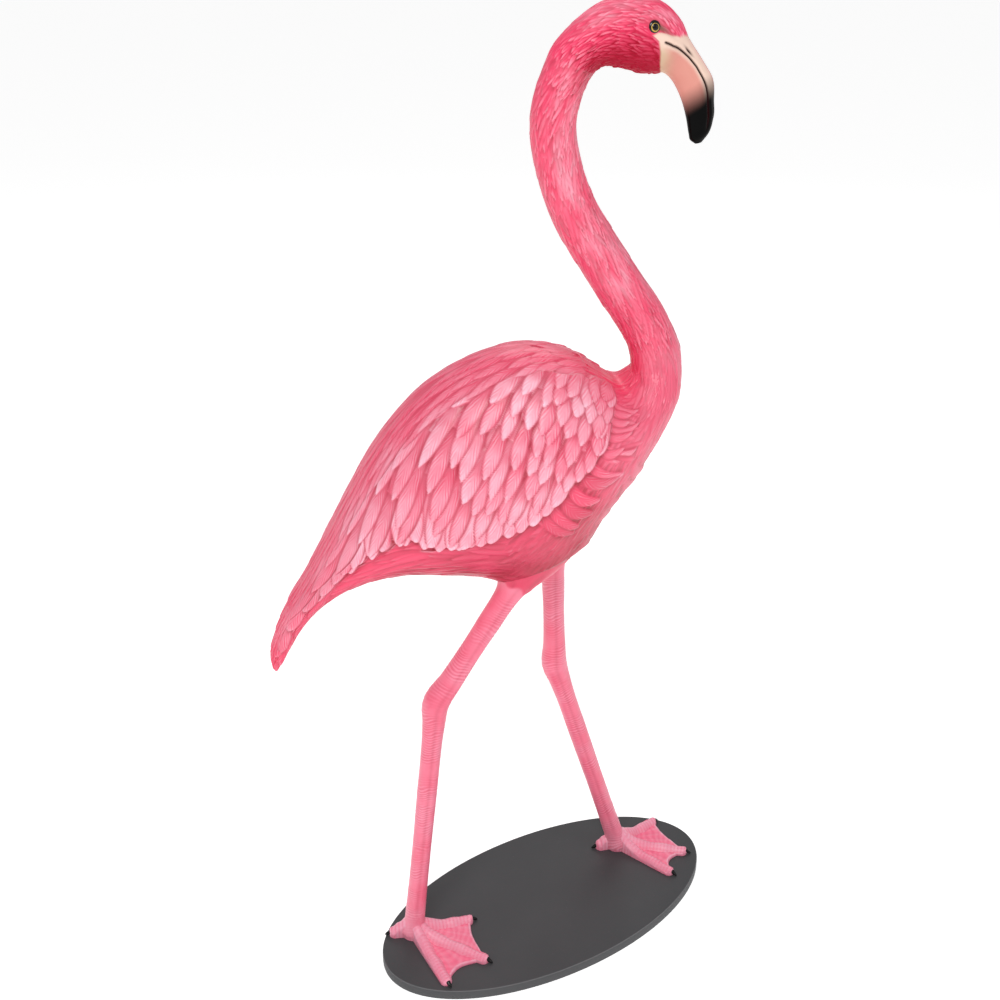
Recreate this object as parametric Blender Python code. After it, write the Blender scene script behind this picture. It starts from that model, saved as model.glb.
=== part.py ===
"""Life-size walking flamingo: one painted resin casting, standing on a separate oval board.

The bird faces +X, its left side is +Y, and Z is up. The origin is the centre of the board's
underside. Everything is in metres.
"""
import bpy
import bmesh
import math
import numpy as np
from mathutils import Matrix, Vector

# Driving dimensions, in metres and degrees
BIRD_HEIGHT = 1.432          # sole to crown
BOARD_LENGTH = 0.600
BOARD_WIDTH = 0.300
BOARD_THICKNESS = 0.018
BOARD_CHAMFER = 0.0015
BOARD_TURN = 21.0            # the oval's long axis, turned from the bird's heading towards its left
SEAT_GAP = 0.0003            # between soles and board
BODY_SIDE_SHIFT = 0.024      # bird's mid-plane, left of the board's centre

# The figure's own grid: its pose and carving are written in these steps, 1432 from sole to crown
FIGURE_STEPS = 1432
STEP = BIRD_HEIGHT / FIGURE_STEPS
SOLE_Z = BOARD_THICKNESS + SEAT_GAP

# Trunk sections from tail tip to neck root: back line x, z, belly line x, z, half width
TRUNK = (
    (-416, 504, -412, 500, 4),
    (-416, 522, -407, 510, 10),
    (-407, 560, -388, 546, 19),
    (-386, 604, -360, 592, 29),
    (-356, 652, -321, 630, 42),
    (-323, 712, -269, 655, 60),
    (-287, 780, -210, 663, 81),
    (-242, 856, -142, 655, 101),
    (-183, 923, -82, 646, 115),
    (-107, 967, -24, 655, 122),
    (-31, 982, 30, 690, 120),
    (29, 967, 78, 744, 109),
    (66, 943, 122, 807, 91),
    (90, 929, 157, 866, 71),
    (106, 939, 177, 912, 52),
)
# Neck, from its root upwards: centre line x, z, radius
NECK = (
    (144, 955, 35),
    (136, 985, 33),
    (121, 1015, 33),
    (91, 1060, 32.5),
    (54, 1117, 31.5),
    (22, 1170, 30.5),
    (2, 1222, 29.3),
    (-7, 1263, 29),
    (-8, 1290, 29),
    (-4, 1314, 29),
)
# Head sections: crown line x, z, throat line x, z, half width
HEAD = (
    (-23, 1347, 35, 1336, 28.5),
    (-9, 1378, 44, 1347, 28.5),
    (15, 1403, 53, 1352, 29.5),
    (47, 1425, 66, 1351, 32),
    (86, 1432, 82, 1347, 34),
    (121, 1427, 102, 1342, 33),
    (148, 1405, 118, 1341, 28),
)
# Bill sections from the face to the tip: ridge line x, z, lower line x, z, half width
BILL = (
    (161, 1383, 129, 1341, 21),
    (182, 1354, 143, 1331, 18.5),
    (197, 1330, 157, 1307, 16),
    (200, 1305, 165, 1284, 13),
    (201, 1283, 170, 1263, 10),
    (196, 1264, 173, 1255, 7.5),
    (188, 1253, 179, 1251, 3),
)
# Mouth: arc length along the sections and degrees down from the back line
MOUTH = ((1320, 88), (1335, 84), (1350, 74), (1361, 68), (1375, 65), (1408, 67), (1440, 66), (1462, 70))
MOUTH_DEPTH = 2.4
MOUTH_SPREAD = 3.5           # the groove's half width in degrees
EYE_ARC = 1304
EYE_DEGREES = 72
EYE_RADIUS = 6.5
EYE_PROUD = 2.0              # how far the eyeball stands out of the face

# Wing: its lower and front edge, as arc length along the trunk and degrees down from the back line
WING_EDGE = (
    (120, 66), (152, 72), (204, 77), (254, 79), (292, 82), (312, 86), (337, 96), (364, 102),
    (440, 102), (495, 98), (520, 94), (545, 86), (581, 78), (598, 73), (612, 64), (627, 54),
    (644, 42), (668, 18),
)
WING_RISE = 7.0              # the folded wing's body above the trunk
WING_RISE_AT_TAIL = 0.35     # share of that rise left where the wing runs out over the tail
WING_RISE_ARC = (60, 260)    # arc lengths between which the wing comes up to its full rise
WING_ARC = (95, 655)         # from the tail feathers to the shoulder
TURN_AT_TAIL = 8             # degrees by which the feathers point down from straight back
TURN_AT_SHOULDER = 58
TURN_ARC = (150, 640)
RIDGE_TURN = 0.15            # share of that turn at the back line, full at RIDGE_DEGREES
RIDGE_DEGREES = 50
TURN_AT_EDGE = 54            # the same at the wing's lower edge
EDGE_TURN_DEGREES = (45, 95)
EDGE_TURN_ARC = (170, 330)
FEATHER_LIFT = 6.5           # a large feather's tip above its root
FEATHER_CROWN = 0.45         # how much lower a feather's edge lies than its shaft, as a share of the lift
SHORT_FEATHER = (46, 21)     # length and width at the shoulder
LONG_FEATHER = (96, 26)      # length and width behind
LENGTHENING_ARC = (330, 640)
ROW_OVERLAP = 0.48           # share of a feather that shows below the next row
EDGE_TIP_REACH = 0.92        # share of an edge feather that lies above the wing's edge
EDGE_FEATHER_WIDTH = 1.12
COLUMN_PITCH = 0.95          # spacing of the columns of feathers, as a share of their width
RIDGE_GAP = 5.0              # degrees below the back line where the wing's feathers begin
LAYING_SLOPE = 0.6           # how strongly a higher feather lies over its neighbour in front

# Breast: rows of fan-shaped feathers that come out from under the wing's front edge
FAN_ROWS = 4
FAN_FIRST_ROW = 7            # feathers in the row nearest the wing
FAN_ARC = 500
FAN_ARC_STEP = 30
FAN_ROW_ARC_STEP = 8
FAN_ANGLE = 104
FAN_ANGLE_STEP = -5.5
FAN_ROW_ANGLE_STEP = 13
FAN_TURN = 118
FAN_FEATHER = (44, 26)
FAN_LIFT = 3.7

# Legs: the foot's place on the board as shares of its half length and half width, then the
# ankle knob and the hip in the figure's grid, and every toe as direction in degrees and length
RIGHT_LEG = {
    "foot": (-0.765, 0.300), "knob": (-183, -55, 449), "hip": (-8, -38, 725),
    "toes": ((5, 100), (-37, 138), (-71, 126)), "hind": (177, 40),
}
LEFT_LEG = {
    "foot": (0.585, 0.285), "knob": (24, 61, 416), "hip": (9, 40, 735),
    "toes": ((28, 94), (-20, 124), (-49, 118)), "hind": (183, 39),
}
SHANK_SHARES = (0.0, 0.25, 0.6, 0.93)           # of the way from ankle to knob
SHANK_RADII = (16.5, 15.0, 15.4, 17.5)
KNOB_RADIUS = 20.0
THIGH_SHARES = (0.14, 0.45, 0.68, 0.84, 1.0)    # of the way from knob to hip
THIGH_RADII = (17.6, 17.0, 22.0, 42.0, 50.0)
THIGH_FLATNESS = 0.72         # the thigh's thickness across the bird, as a share of its depth
ANKLE_HEIGHT = 24.0
ANKLE_SEAT = 0.35             # where the shank starts, as a share of the ankle's height
TOE_RADIUS = 13.5
TOE_TIP_RADIUS = 9.5
TOE_RIDGE = 1.3               # a toe's height, as a share of its half width
WEB_THICKNESS = 4.5
WEB_REACH = 0.95             # web length beside a toe, as a share of the toe
WEB_DIP = 0.14               # how far the web edge curves in between two toes
FOOT_RIM = 0.8               # the rim's height, as a share of the web's
INSTEP_RADIUS = 26.0
HEEL_RADIUS = 19.0
CLAW_LENGTH = 15.0
CLAW_RADIUS = 3.6
CLAW_SHARES = (0.0, 0.35, 0.7, 1.0)
CLAW_TAPER = 0.75            # share of its radius that a claw has lost at the point
CLAW_BASE = 0.80             # height of a claw's root, as a share of the toe tip's radius
CLAW_DROP = 0.62             # how far its point comes down, as a share of the toe tip's radius

# Fineness of the mesh
ROW_PITCH = 4.2              # in the figure's grid, along the sections
COLUMN_ANGLE = 2.4
PLUMAGE_TRIANGLES = 6800
LEG_SIDES = 10
FOOT_COLUMNS = 36
FOOT_RINGS = 6
BOARD_SIDES = 72
EYE_SIDES = 10
CLAW_SIDES = 6
SHANK_ROWS = 6
THIGH_ROWS = 12
SHANK_END = 0.55             # share of the leg over which the rows lie wider apart
FOOT_RING_SPREAD = 0.6       # exponent that draws the foot's rings away from the ankle
EDGE_CREASE_ANGLE = 40.0


def clear_scene():
    for thing in list(bpy.data.objects):
        bpy.data.objects.remove(thing, do_unlink=True)


def paint(name, colour, roughness):
    finish = bpy.data.materials.new(name)
    finish.use_nodes = True
    shader = finish.node_tree.nodes["Principled BSDF"]
    shader.inputs["Base Color"].default_value = (*colour, 1.0)
    shader.inputs["Roughness"].default_value = roughness
    shader.inputs["Metallic"].default_value = 0.0
    return finish


def place(x, y, z):
    """A point of the figure's grid in the part's frame."""
    return (x * STEP, y * STEP + BODY_SIDE_SHIFT, z * STEP + SOLE_Z)


def smooth_curve(rows, knots, samples):
    """A smooth curve through the rows, one row at each knot."""
    rows = np.asarray(rows, float)
    knots = np.asarray(knots, float)
    gaps = np.diff(knots)[:, None]
    steps = np.diff(rows, axis=0) / gaps
    slopes = np.empty_like(rows)
    slopes[0] = steps[0]
    slopes[-1] = steps[-1]
    slopes[1:-1] = (steps[1:] * gaps[:-1] + steps[:-1] * gaps[1:]) / (gaps[1:] + gaps[:-1])
    cell = np.clip(np.searchsorted(knots, samples, side="right") - 1, 0, len(knots) - 2)
    size = gaps[cell]
    share = ((samples - knots[cell])[:, None]) / size
    start = rows[cell] * (2 * share ** 3 - 3 * share ** 2 + 1)
    end = rows[cell + 1] * (3 * share ** 2 - 2 * share ** 3)
    leave = slopes[cell] * size * (share ** 3 - 2 * share ** 2 + share)
    arrive = slopes[cell + 1] * size * (share ** 3 - share ** 2)
    return start + end + leave + arrive


def ramp(value, low, high):
    """0 below low, 1 above high, smooth between."""
    share = np.clip((value - low) / (high - low), 0.0, 1.0)
    return share * share * (3 - 2 * share)


def neck_sections():
    """The neck's round sections, written like the trunk's."""
    line = np.array(NECK, float)
    travel = np.gradient(line[:, :2], axis=0)
    travel /= np.linalg.norm(travel, axis=1)[:, None]
    across = np.stack([-travel[:, 1], travel[:, 0]], axis=-1) * line[:, 2:3]
    return np.hstack([line[:, :2] + across, line[:, :2] - across, line[:, 2:3]])


def section_knots(sections):
    """Arc length of the line of section centres."""
    centres = (sections[:, :2] + sections[:, 2:4]) / 2
    return np.concatenate([[0.0], np.cumsum(np.linalg.norm(np.diff(centres, axis=0), axis=1))])


def bird_sections():
    return np.vstack([np.array(TRUNK, float), neck_sections(), np.array(HEAD, float), np.array(BILL, float)])


def loft(sections):
    """Rings of points over the sections: arc length, angle down from the back line, points."""
    knots = section_knots(sections)
    arc = np.linspace(0.0, knots[-1], int(knots[-1] / ROW_PITCH))
    curve = smooth_curve(sections, knots, arc)
    angle = np.linspace(0.0, 2 * np.pi, int(360 / COLUMN_ANGLE), endpoint=False)
    centre = (curve[:, :2] + curve[:, 2:4]) / 2
    upward = (curve[:, :2] - curve[:, 2:4]) / 2
    x = centre[:, None, 0] + upward[:, None, 0] * np.cos(angle)
    z = centre[:, None, 1] + upward[:, None, 1] * np.cos(angle)
    y = -np.maximum(curve[:, 4], 1.0)[:, None] * np.sin(angle)
    return arc, angle, np.stack([x, y, z], axis=-1)


def outward_normals(points):
    along = np.gradient(points, axis=0)
    along /= np.linalg.norm(along, axis=-1)[..., None]
    around = np.roll(points, -1, axis=1) - np.roll(points, 1, axis=1)
    around -= along * (around * along).sum(axis=-1)[..., None]
    around /= np.linalg.norm(around, axis=-1)[..., None]
    normal = np.cross(along, around)
    outward = points - points.mean(axis=1, keepdims=True)
    return normal * np.sign((outward * normal).sum())


def leaf_width(share):
    """A feather's half width along its length: narrow root, full middle, rounded tip."""
    tip = np.sqrt(np.clip(1 - ((share - 0.6) / 0.4) ** 2, 0.0, 1.0))
    return np.where(share < 0.6, 0.55 + 0.45 * ramp(share, -0.2, 0.6), tip)


class Plumage:
    """Heights above the trunk, built up feather by feather from tail to shoulder."""

    def __init__(self, arc, angle, points):
        self.arc = arc
        self.degrees = np.degrees(angle)
        self.normal = outward_normals(points)
        self.height = np.zeros(points.shape[:2])
        self.per_arc = np.linalg.norm(np.gradient(points, arc, axis=0), axis=-1)
        around = np.roll(points, -1, axis=1) - np.roll(points, 1, axis=1)
        self.per_degree = np.linalg.norm(around, axis=-1) / (2 * self.degrees[1])

    def nearest(self, arc, degrees):
        row = int(np.clip(np.searchsorted(self.arc, arc), 1, len(self.arc) - 2))
        column = int(round((degrees % 360) / 360 * len(self.degrees))) % len(self.degrees)
        return row, column

    def lay(self, arc, degrees, turn, length, width, rise, lift, side):
        """One feather from its root, measured along the skin: turn goes from tailward towards the belly."""
        row, column = self.nearest(arc, degrees if side > 0 else 360 - degrees)
        turn = math.radians(turn)
        back = (self.arc[row] - self.arc)[:, None] * self.per_arc[row, column]
        apart = ((self.degrees - self.degrees[column]) * side + 180) % 360 - 180
        down = apart[None, :] * self.per_degree[row, column]
        share = (back * math.cos(turn) + down * math.sin(turn)) / length
        aside = (back * math.sin(turn) - down * math.cos(turn)) / (width / 2)
        half = leaf_width(share)
        inside = (share > 0) & (share < 1) & (np.abs(aside) < half)
        bulge = 1 - FEATHER_CROWN * (aside / np.maximum(half, 0.05)) ** 2
        level = rise + lift * (0.25 + 0.75 * share) * bulge
        self.height = np.where(inside, level, self.height)


def wing_edge(arc):
    table = np.array(WING_EDGE, float)
    return np.interp(arc, table[:, 0], table[:, 1], left=0.0, right=0.0)


def wing_rise(arc):
    return WING_RISE * (WING_RISE_AT_TAIL + (1 - WING_RISE_AT_TAIL) * ramp(arc, *WING_RISE_ARC))


def feather_turn(arc, degrees):
    """Feathers lie along the back at the ridge and tail, and hang down at the shoulder."""
    hang = TURN_AT_TAIL + (TURN_AT_SHOULDER - TURN_AT_TAIL) * ramp(arc, *TURN_ARC)
    turn = hang * (RIDGE_TURN + (1 - RIDGE_TURN) * ramp(degrees, 0, RIDGE_DEGREES))
    lower = ramp(degrees, *EDGE_TURN_DEGREES) * ramp(arc, *EDGE_TURN_ARC)
    return turn + (TURN_AT_EDGE - turn) * lower


def feather_size(arc):
    behind = 1 - float(ramp(arc, *LENGTHENING_ARC))
    return [short + (long - short) * behind for short, long in zip(SHORT_FEATHER, LONG_FEATHER)]


def lay_breast(coat, side):
    length, width = FAN_FEATHER
    for row in range(FAN_ROWS):
        for turn in range(FAN_FIRST_ROW - row):
            arc = FAN_ARC + FAN_ARC_STEP * turn + FAN_ROW_ARC_STEP * row
            degrees = FAN_ANGLE + FAN_ROW_ANGLE_STEP * row + FAN_ANGLE_STEP * turn
            coat.lay(arc, degrees, FAN_TURN, length, width, 0.0, FAN_LIFT, side)


def wing_column(coat, arc):
    """The feathers of one column, from the wing's edge up to the back."""
    edge = float(wing_edge(arc))
    length, width = feather_size(arc)
    per_degree = coat.per_degree[coat.nearest(arc, 0)[0]].mean()
    gap = length * ROW_OVERLAP / per_degree
    hang = math.radians(feather_turn(arc, edge))
    tip_edge = float(wing_edge(max(arc - length * math.cos(hang), WING_EDGE[0][0])))
    degrees = tip_edge - EDGE_TIP_REACH * length * math.sin(hang) / per_degree
    width_now = width * EDGE_FEATHER_WIDTH
    while degrees > RIDGE_GAP:
        yield degrees, length, width_now
        degrees -= gap
        width_now = width


def lay_wing(coat, side):
    """All the large feathers of one wing, laid from tail and edge to shoulder and ridge."""
    laid = []
    arc = WING_ARC[0]
    while arc < WING_ARC[1]:
        width = feather_size(arc)[1]
        for degrees, length, width_now in wing_column(coat, arc):
            stagger = 0.5 * width * (len(laid) % 2)
            order = arc + stagger - LAYING_SLOPE * degrees
            laid.append((order, arc + stagger, degrees, length, width_now))
        arc += width * COLUMN_PITCH
    for _, at_arc, degrees, length, width in sorted(laid):
        turn = float(feather_turn(at_arc, degrees))
        coat.lay(at_arc, degrees, turn, length, width, float(wing_rise(at_arc)), FEATHER_LIFT, side)


def carve_mouth(coat):
    """The groove between the two halves of the bill."""
    table = np.array(MOUTH, float)
    line = np.interp(coat.arc, table[:, 0], table[:, 1])[:, None]
    down = np.minimum(coat.degrees, 360 - coat.degrees)[None, :]
    length = ramp(coat.arc, table[0, 0], table[1, 0]) * (1 - ramp(coat.arc, table[-2, 0], table[-1, 0]))
    groove = np.exp(-((down - line) / MOUTH_SPREAD) ** 2)
    coat.height = coat.height - MOUTH_DEPTH * groove * length[:, None]


def feathered_body():
    """Tail, trunk, wings, neck, head and bill as one skin with the large feathers raised."""
    arc, angle, points = loft(bird_sections())
    coat = Plumage(arc, angle, points)
    down = np.minimum(coat.degrees, 360 - coat.degrees)
    on_wing = down[None, :] < wing_edge(arc)[:, None]
    coat.height = np.where(on_wing, wing_rise(arc)[:, None], 0.0)
    for side in (1, -1):
        lay_breast(coat, side)
        lay_wing(coat, side)
    carve_mouth(coat)
    return points + coat.normal * coat.height[..., None]


def closed_tube(name, rings, first_tip=None, last_tip=None):
    """A mesh object from rings of points, closed by a fan at each end."""
    rows, columns = rings.shape[:2]
    tips = [rings[0].mean(axis=0) if first_tip is None else first_tip,
            rings[-1].mean(axis=0) if last_tip is None else last_tip]
    points = [place(*p) for p in np.vstack([rings.reshape(-1, 3), tips])]
    start, end = rows * columns, rows * columns + 1
    faces = []
    for j in range(columns):
        k = (j + 1) % columns
        faces.append((start, k, j))
        faces.append((end, (rows - 1) * columns + j, (rows - 1) * columns + k))
        for i in range(rows - 1):
            faces.append((i * columns + j, i * columns + k, (i + 1) * columns + k, (i + 1) * columns + j))
    return solid_from(name, points, faces)


def solid_from(name, points, faces):
    mesh = bpy.data.meshes.new(name)
    mesh.from_pydata([tuple(p) for p in points], [], faces)
    shape = bmesh.new()
    shape.from_mesh(mesh)
    bmesh.ops.recalc_face_normals(shape, faces=shape.faces)
    bmesh.ops.triangulate(shape, faces=shape.faces)
    shape.to_mesh(mesh)
    shape.free()
    thing = bpy.data.objects.new(name, mesh)
    bpy.context.scene.collection.objects.link(thing)
    return thing


def settle(thing):
    """Replace the object's mesh by what its modifiers make of it."""
    bpy.context.view_layer.update()
    evaluated = thing.evaluated_get(bpy.context.evaluated_depsgraph_get())
    mesh = bpy.data.meshes.new_from_object(evaluated)
    thing.modifiers.clear()
    thing.data = mesh


def thin_out(thing, triangles):
    """Fewer, larger facets where the surface is calm."""
    count = sum(len(face.vertices) - 2 for face in thing.data.polygons)
    modifier = thing.modifiers.new("thin out", "DECIMATE")
    modifier.ratio = min(1.0, triangles / count)
    modifier.use_collapse_triangulate = True
    settle(thing)


def unite(thing, other):
    modifier = thing.modifiers.new("unite", "BOOLEAN")
    modifier.operation = "UNION"
    modifier.solver = "EXACT"
    modifier.object = other
    settle(thing)
    bpy.data.objects.remove(other, do_unlink=True)


def eyeball(side):
    """The painted eye, a shallow dome on each side of the head."""
    arc, angle, points = loft(bird_sections())
    normal = outward_normals(points)
    row = int(np.searchsorted(arc, EYE_ARC))
    column = int(round(EYE_DEGREES / COLUMN_ANGLE))
    centre = points[row, column] - normal[row, column] * (EYE_RADIUS - EYE_PROUD)
    centre[1] *= side
    bm = bmesh.new()
    bmesh.ops.create_uvsphere(bm, u_segments=EYE_SIDES, v_segments=EYE_SIDES - 4, radius=EYE_RADIUS * STEP)
    mesh = bpy.data.meshes.new("eye")
    bm.to_mesh(mesh)
    bm.free()
    mesh.transform(Matrix.Translation(Vector(place(*centre))))
    thing = bpy.data.objects.new("eye", mesh)
    bpy.context.scene.collection.objects.link(thing)
    return thing


def foot_spot(leg):
    """Where the leg stands on the board, in the figure's grid."""
    turn = math.radians(BOARD_TURN)
    along = leg["foot"][0] * BOARD_LENGTH / 2
    across = leg["foot"][1] * BOARD_WIDTH / 2
    x = along * math.cos(turn) - across * math.sin(turn)
    y = along * math.sin(turn) + across * math.cos(turn)
    return np.array([x / STEP, (y - BODY_SIDE_SHIFT) / STEP, 0.0])


def leg_line(leg):
    """Centre points and radii from ankle to hip."""
    ankle = foot_spot(leg) + np.array([0, 0, ANKLE_HEIGHT * ANKLE_SEAT])
    hip = np.array(leg["hip"], float)
    knob = np.array(leg["knob"], float)
    line = []
    for share, radius in zip(SHANK_SHARES, SHANK_RADII):
        line.append((*(ankle + (knob - ankle) * share), radius))
    line.append((*knob, KNOB_RADIUS))
    for share, radius in zip(THIGH_SHARES, THIGH_RADII):
        line.append((*(knob + (hip - knob) * share), radius))
    return np.array(line)


def leg_shaft(leg):
    line = leg_line(leg)
    knots = np.concatenate([[0.0], np.cumsum(np.linalg.norm(np.diff(line[:, :3], axis=0), axis=1))])
    shank = np.linspace(0, SHANK_END, SHANK_ROWS, endpoint=False)
    shares = np.concatenate([shank, np.linspace(SHANK_END, 1.0, THIGH_ROWS)])
    curve = smooth_curve(line, knots, shares * knots[-1])
    travel = np.gradient(curve[:, :3], axis=0)
    travel /= np.linalg.norm(travel, axis=1)[:, None]
    fore = np.cross(travel, [0.0, 1.0, 0.0])
    fore /= np.linalg.norm(fore, axis=1)[:, None]
    aside = np.cross(travel, fore)
    angle = np.linspace(0, 2 * np.pi, LEG_SIDES, endpoint=False)
    flat = 1 - (1 - THIGH_FLATNESS) * ramp(curve[:, 3], KNOB_RADIUS, THIGH_RADII[-1])
    ring = fore[:, None] * np.cos(angle)[None, :, None]
    ring = ring + (aside * flat[:, None])[:, None] * np.sin(angle)[None, :, None]
    rings = curve[:, None, :3] + curve[:, None, 3:4] * ring
    return closed_tube("leg", rings)


def toe_directions(leg):
    """Every toe of a foot as direction in degrees and length, hind toe last."""
    return [*leg["toes"], leg["hind"]]


def foot_reach(leg, degrees):
    """How far the foot's outline lies from the ankle, in a direction."""
    reach = HEEL_RADIUS
    toes = leg["toes"]
    for (first, first_length), (second, second_length) in zip(toes[:-1], toes[1:]):
        span = first - second
        share = (first - degrees) / span
        if 0 <= share <= 1:
            web = (first_length + (second_length - first_length) * share) * WEB_REACH
            dip = 1 - WEB_DIP * math.sin(math.pi * share)
            reach = max(reach, web * dip)
    for direction, length in toe_directions(leg):
        apart = math.radians((degrees - direction + 180) % 360 - 180)
        if abs(apart) < math.pi / 2:
            end = length - TOE_TIP_RADIUS
            aside = end * abs(math.sin(apart))
            if aside < TOE_TIP_RADIUS:
                reach = max(reach, end * math.cos(apart) + math.sqrt(TOE_TIP_RADIUS ** 2 - aside ** 2))
            else:
                reach = max(reach, TOE_TIP_RADIUS / abs(math.sin(apart)))
    return reach


def foot(leg):
    """The webbed foot: toe ridges and webs over a flat sole, seen as rings round the ankle."""
    toe_angles = []
    for direction, length in toe_directions(leg):
        lean = math.degrees(math.asin(TOE_TIP_RADIUS / (length - TOE_TIP_RADIUS)))
        for part in (-1.0, -0.7, 0.0, 0.7, 1.0):
            toe_angles.append(direction + lean * part)
    toe_angles = (np.array(toe_angles) + 180) % 360 - 180
    between = np.linspace(-180, 180, FOOT_COLUMNS, endpoint=False)
    apart = np.abs((between[:, None] - toe_angles[None, :] + 180) % 360 - 180).min(axis=1)
    angles = np.sort(np.concatenate([between[apart > 360 / FOOT_COLUMNS * 0.6], toe_angles]))
    spot = foot_spot(leg)
    points = []
    for ring in range(1, FOOT_RINGS + 1):
        share = (ring / FOOT_RINGS) ** FOOT_RING_SPREAD
        for degrees in angles:
            far = foot_reach(leg, degrees) * share
            flat = np.array([math.cos(math.radians(degrees)), math.sin(math.radians(degrees))]) * far
            height = WEB_THICKNESS
            for direction, length in toe_directions(leg):
                axis = np.array([math.cos(math.radians(direction)), math.sin(math.radians(direction))])
                run = float(flat @ axis)
                off = float(np.linalg.norm(flat - axis * run))
                thick = TOE_RADIUS + (TOE_TIP_RADIUS - TOE_RADIUS) * np.clip(run / length, 0, 1)
                if run > 0 and off < thick:
                    height = max(height, TOE_RIDGE * thick * math.sqrt(1 - (off / thick) ** 2))
            height += ANKLE_HEIGHT * math.exp(-(far / INSTEP_RADIUS) ** 2)
            if ring == FOOT_RINGS:
                height = min(height, WEB_THICKNESS * FOOT_RIM)
            points.append((spot[0] + flat[0], spot[1] + flat[1], height))
    columns = len(angles)
    outline = points[-columns:]
    points += [(x, y, 0.0) for x, y, _ in outline]
    points.append((spot[0], spot[1], ANKLE_HEIGHT + WEB_THICKNESS))
    points.append((spot[0], spot[1], 0.0))
    top, sole = len(points) - 2, len(points) - 1
    faces = []
    for j in range(columns):
        k = (j + 1) % columns
        faces.append((top, j, k))
        faces.append((sole, FOOT_RINGS * columns + k, FOOT_RINGS * columns + j))
        for i in range(FOOT_RINGS):
            faces.append((i * columns + j, (i + 1) * columns + j, (i + 1) * columns + k, i * columns + k))
    return solid_from("foot", [place(*p) for p in points], faces)


def claw(leg, direction, length):
    """A small bent nail over a toe's end."""
    spot = foot_spot(leg)
    rings = []
    heading = np.array([math.cos(math.radians(direction)), math.sin(math.radians(direction)), 0.0])
    aside = np.array([-heading[1], heading[0], 0.0])
    upward = np.array([0.0, 0.0, 1.0])
    for share in CLAW_SHARES:
        radius = CLAW_RADIUS * (1 - CLAW_TAPER * share ** 1.5)
        height = TOE_TIP_RADIUS * (CLAW_BASE - CLAW_DROP * share ** 1.5)
        centre = spot + heading * (length + CLAW_LENGTH * (share - 0.5)) + upward * height
        ring = []
        for corner in range(CLAW_SIDES):
            angle = 2 * math.pi * corner / CLAW_SIDES
            ring.append(centre + aside * radius * math.cos(angle) + upward * radius * math.sin(angle))
        rings.append(ring)
    return closed_tube("claw", np.array(rings))


def flamingo(finish):
    """The whole bird, cast in one piece."""
    bird = closed_tube("flamingo", feathered_body())
    thin_out(bird, PLUMAGE_TRIANGLES)
    for side in (1, -1):
        unite(bird, eyeball(side))
    for leg in (RIGHT_LEG, LEFT_LEG):
        limb = leg_shaft(leg)
        unite(limb, foot(leg))
        for direction, length in toe_directions(leg):
            unite(limb, claw(leg, direction, length))
        unite(bird, limb)
    bird.data.materials.clear()
    bird.data.materials.append(finish)
    bird.data.shade_smooth()
    bird.data.set_sharp_from_angle(angle=math.radians(EDGE_CREASE_ANGLE))
    return bird


def board(finish):
    """The oval board, its upper and lower rims chamfered."""
    shape = bmesh.new()
    levels = (
        (0.0, BOARD_CHAMFER), (BOARD_CHAMFER, 0.0),
        (BOARD_THICKNESS - BOARD_CHAMFER, 0.0), (BOARD_THICKNESS, BOARD_CHAMFER),
    )
    rings = []
    for height, inset in levels:
        ring = []
        for corner in range(BOARD_SIDES):
            angle = 2 * math.pi * corner / BOARD_SIDES
            x = (BOARD_LENGTH / 2 - inset) * math.cos(angle)
            y = (BOARD_WIDTH / 2 - inset) * math.sin(angle)
            ring.append(shape.verts.new((x, y, height)))
        rings.append(ring)
    for lower, upper in zip(rings[:-1], rings[1:]):
        for j in range(BOARD_SIDES):
            k = (j + 1) % BOARD_SIDES
            shape.faces.new((lower[j], lower[k], upper[k], upper[j]))
    shape.faces.new(list(reversed(rings[0])))
    shape.faces.new(rings[-1])
    mesh = bpy.data.meshes.new("base_board")
    shape.to_mesh(mesh)
    shape.free()
    mesh.materials.append(finish)
    thing = bpy.data.objects.new("base_board", mesh)
    thing.rotation_euler = (0.0, 0.0, math.radians(BOARD_TURN))
    bpy.context.scene.collection.objects.link(thing)
    return thing


def main():
    clear_scene()
    board(paint("painted board", (0.075, 0.075, 0.080), 0.6))
    flamingo(paint("painted resin cast", (0.90, 0.13, 0.24), 0.42))


main()
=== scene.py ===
"""Life-size walking flamingo statue: painted resin casting on an oval painted board."""
import math
import bmesh
import bpy
import numpy as np
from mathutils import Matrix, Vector
from mathutils.bvhtree import BVHTree


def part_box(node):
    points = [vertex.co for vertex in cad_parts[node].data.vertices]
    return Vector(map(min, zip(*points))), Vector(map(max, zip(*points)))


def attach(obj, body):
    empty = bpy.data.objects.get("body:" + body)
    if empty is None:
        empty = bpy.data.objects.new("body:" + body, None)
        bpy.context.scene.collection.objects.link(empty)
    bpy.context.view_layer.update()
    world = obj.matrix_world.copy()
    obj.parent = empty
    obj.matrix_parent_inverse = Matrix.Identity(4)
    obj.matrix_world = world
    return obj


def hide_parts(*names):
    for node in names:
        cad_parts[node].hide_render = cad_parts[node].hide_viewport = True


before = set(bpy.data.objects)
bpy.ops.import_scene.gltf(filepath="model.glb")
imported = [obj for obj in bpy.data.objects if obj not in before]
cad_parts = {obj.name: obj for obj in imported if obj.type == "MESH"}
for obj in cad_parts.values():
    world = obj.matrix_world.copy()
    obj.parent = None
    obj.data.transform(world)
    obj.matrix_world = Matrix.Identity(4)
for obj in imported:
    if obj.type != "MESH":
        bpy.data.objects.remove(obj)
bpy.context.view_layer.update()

# The figure's own grid: a step is a millimetre, zero is the sole in the bird's mid-plane
BOARD_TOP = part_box("base_board")[1][2]
SOLE_Z = BOARD_TOP + 0.0003
STEP = 0.001
SIDE_SHIFT = 0.024
BOARD_LENGTH = 0.600
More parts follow.
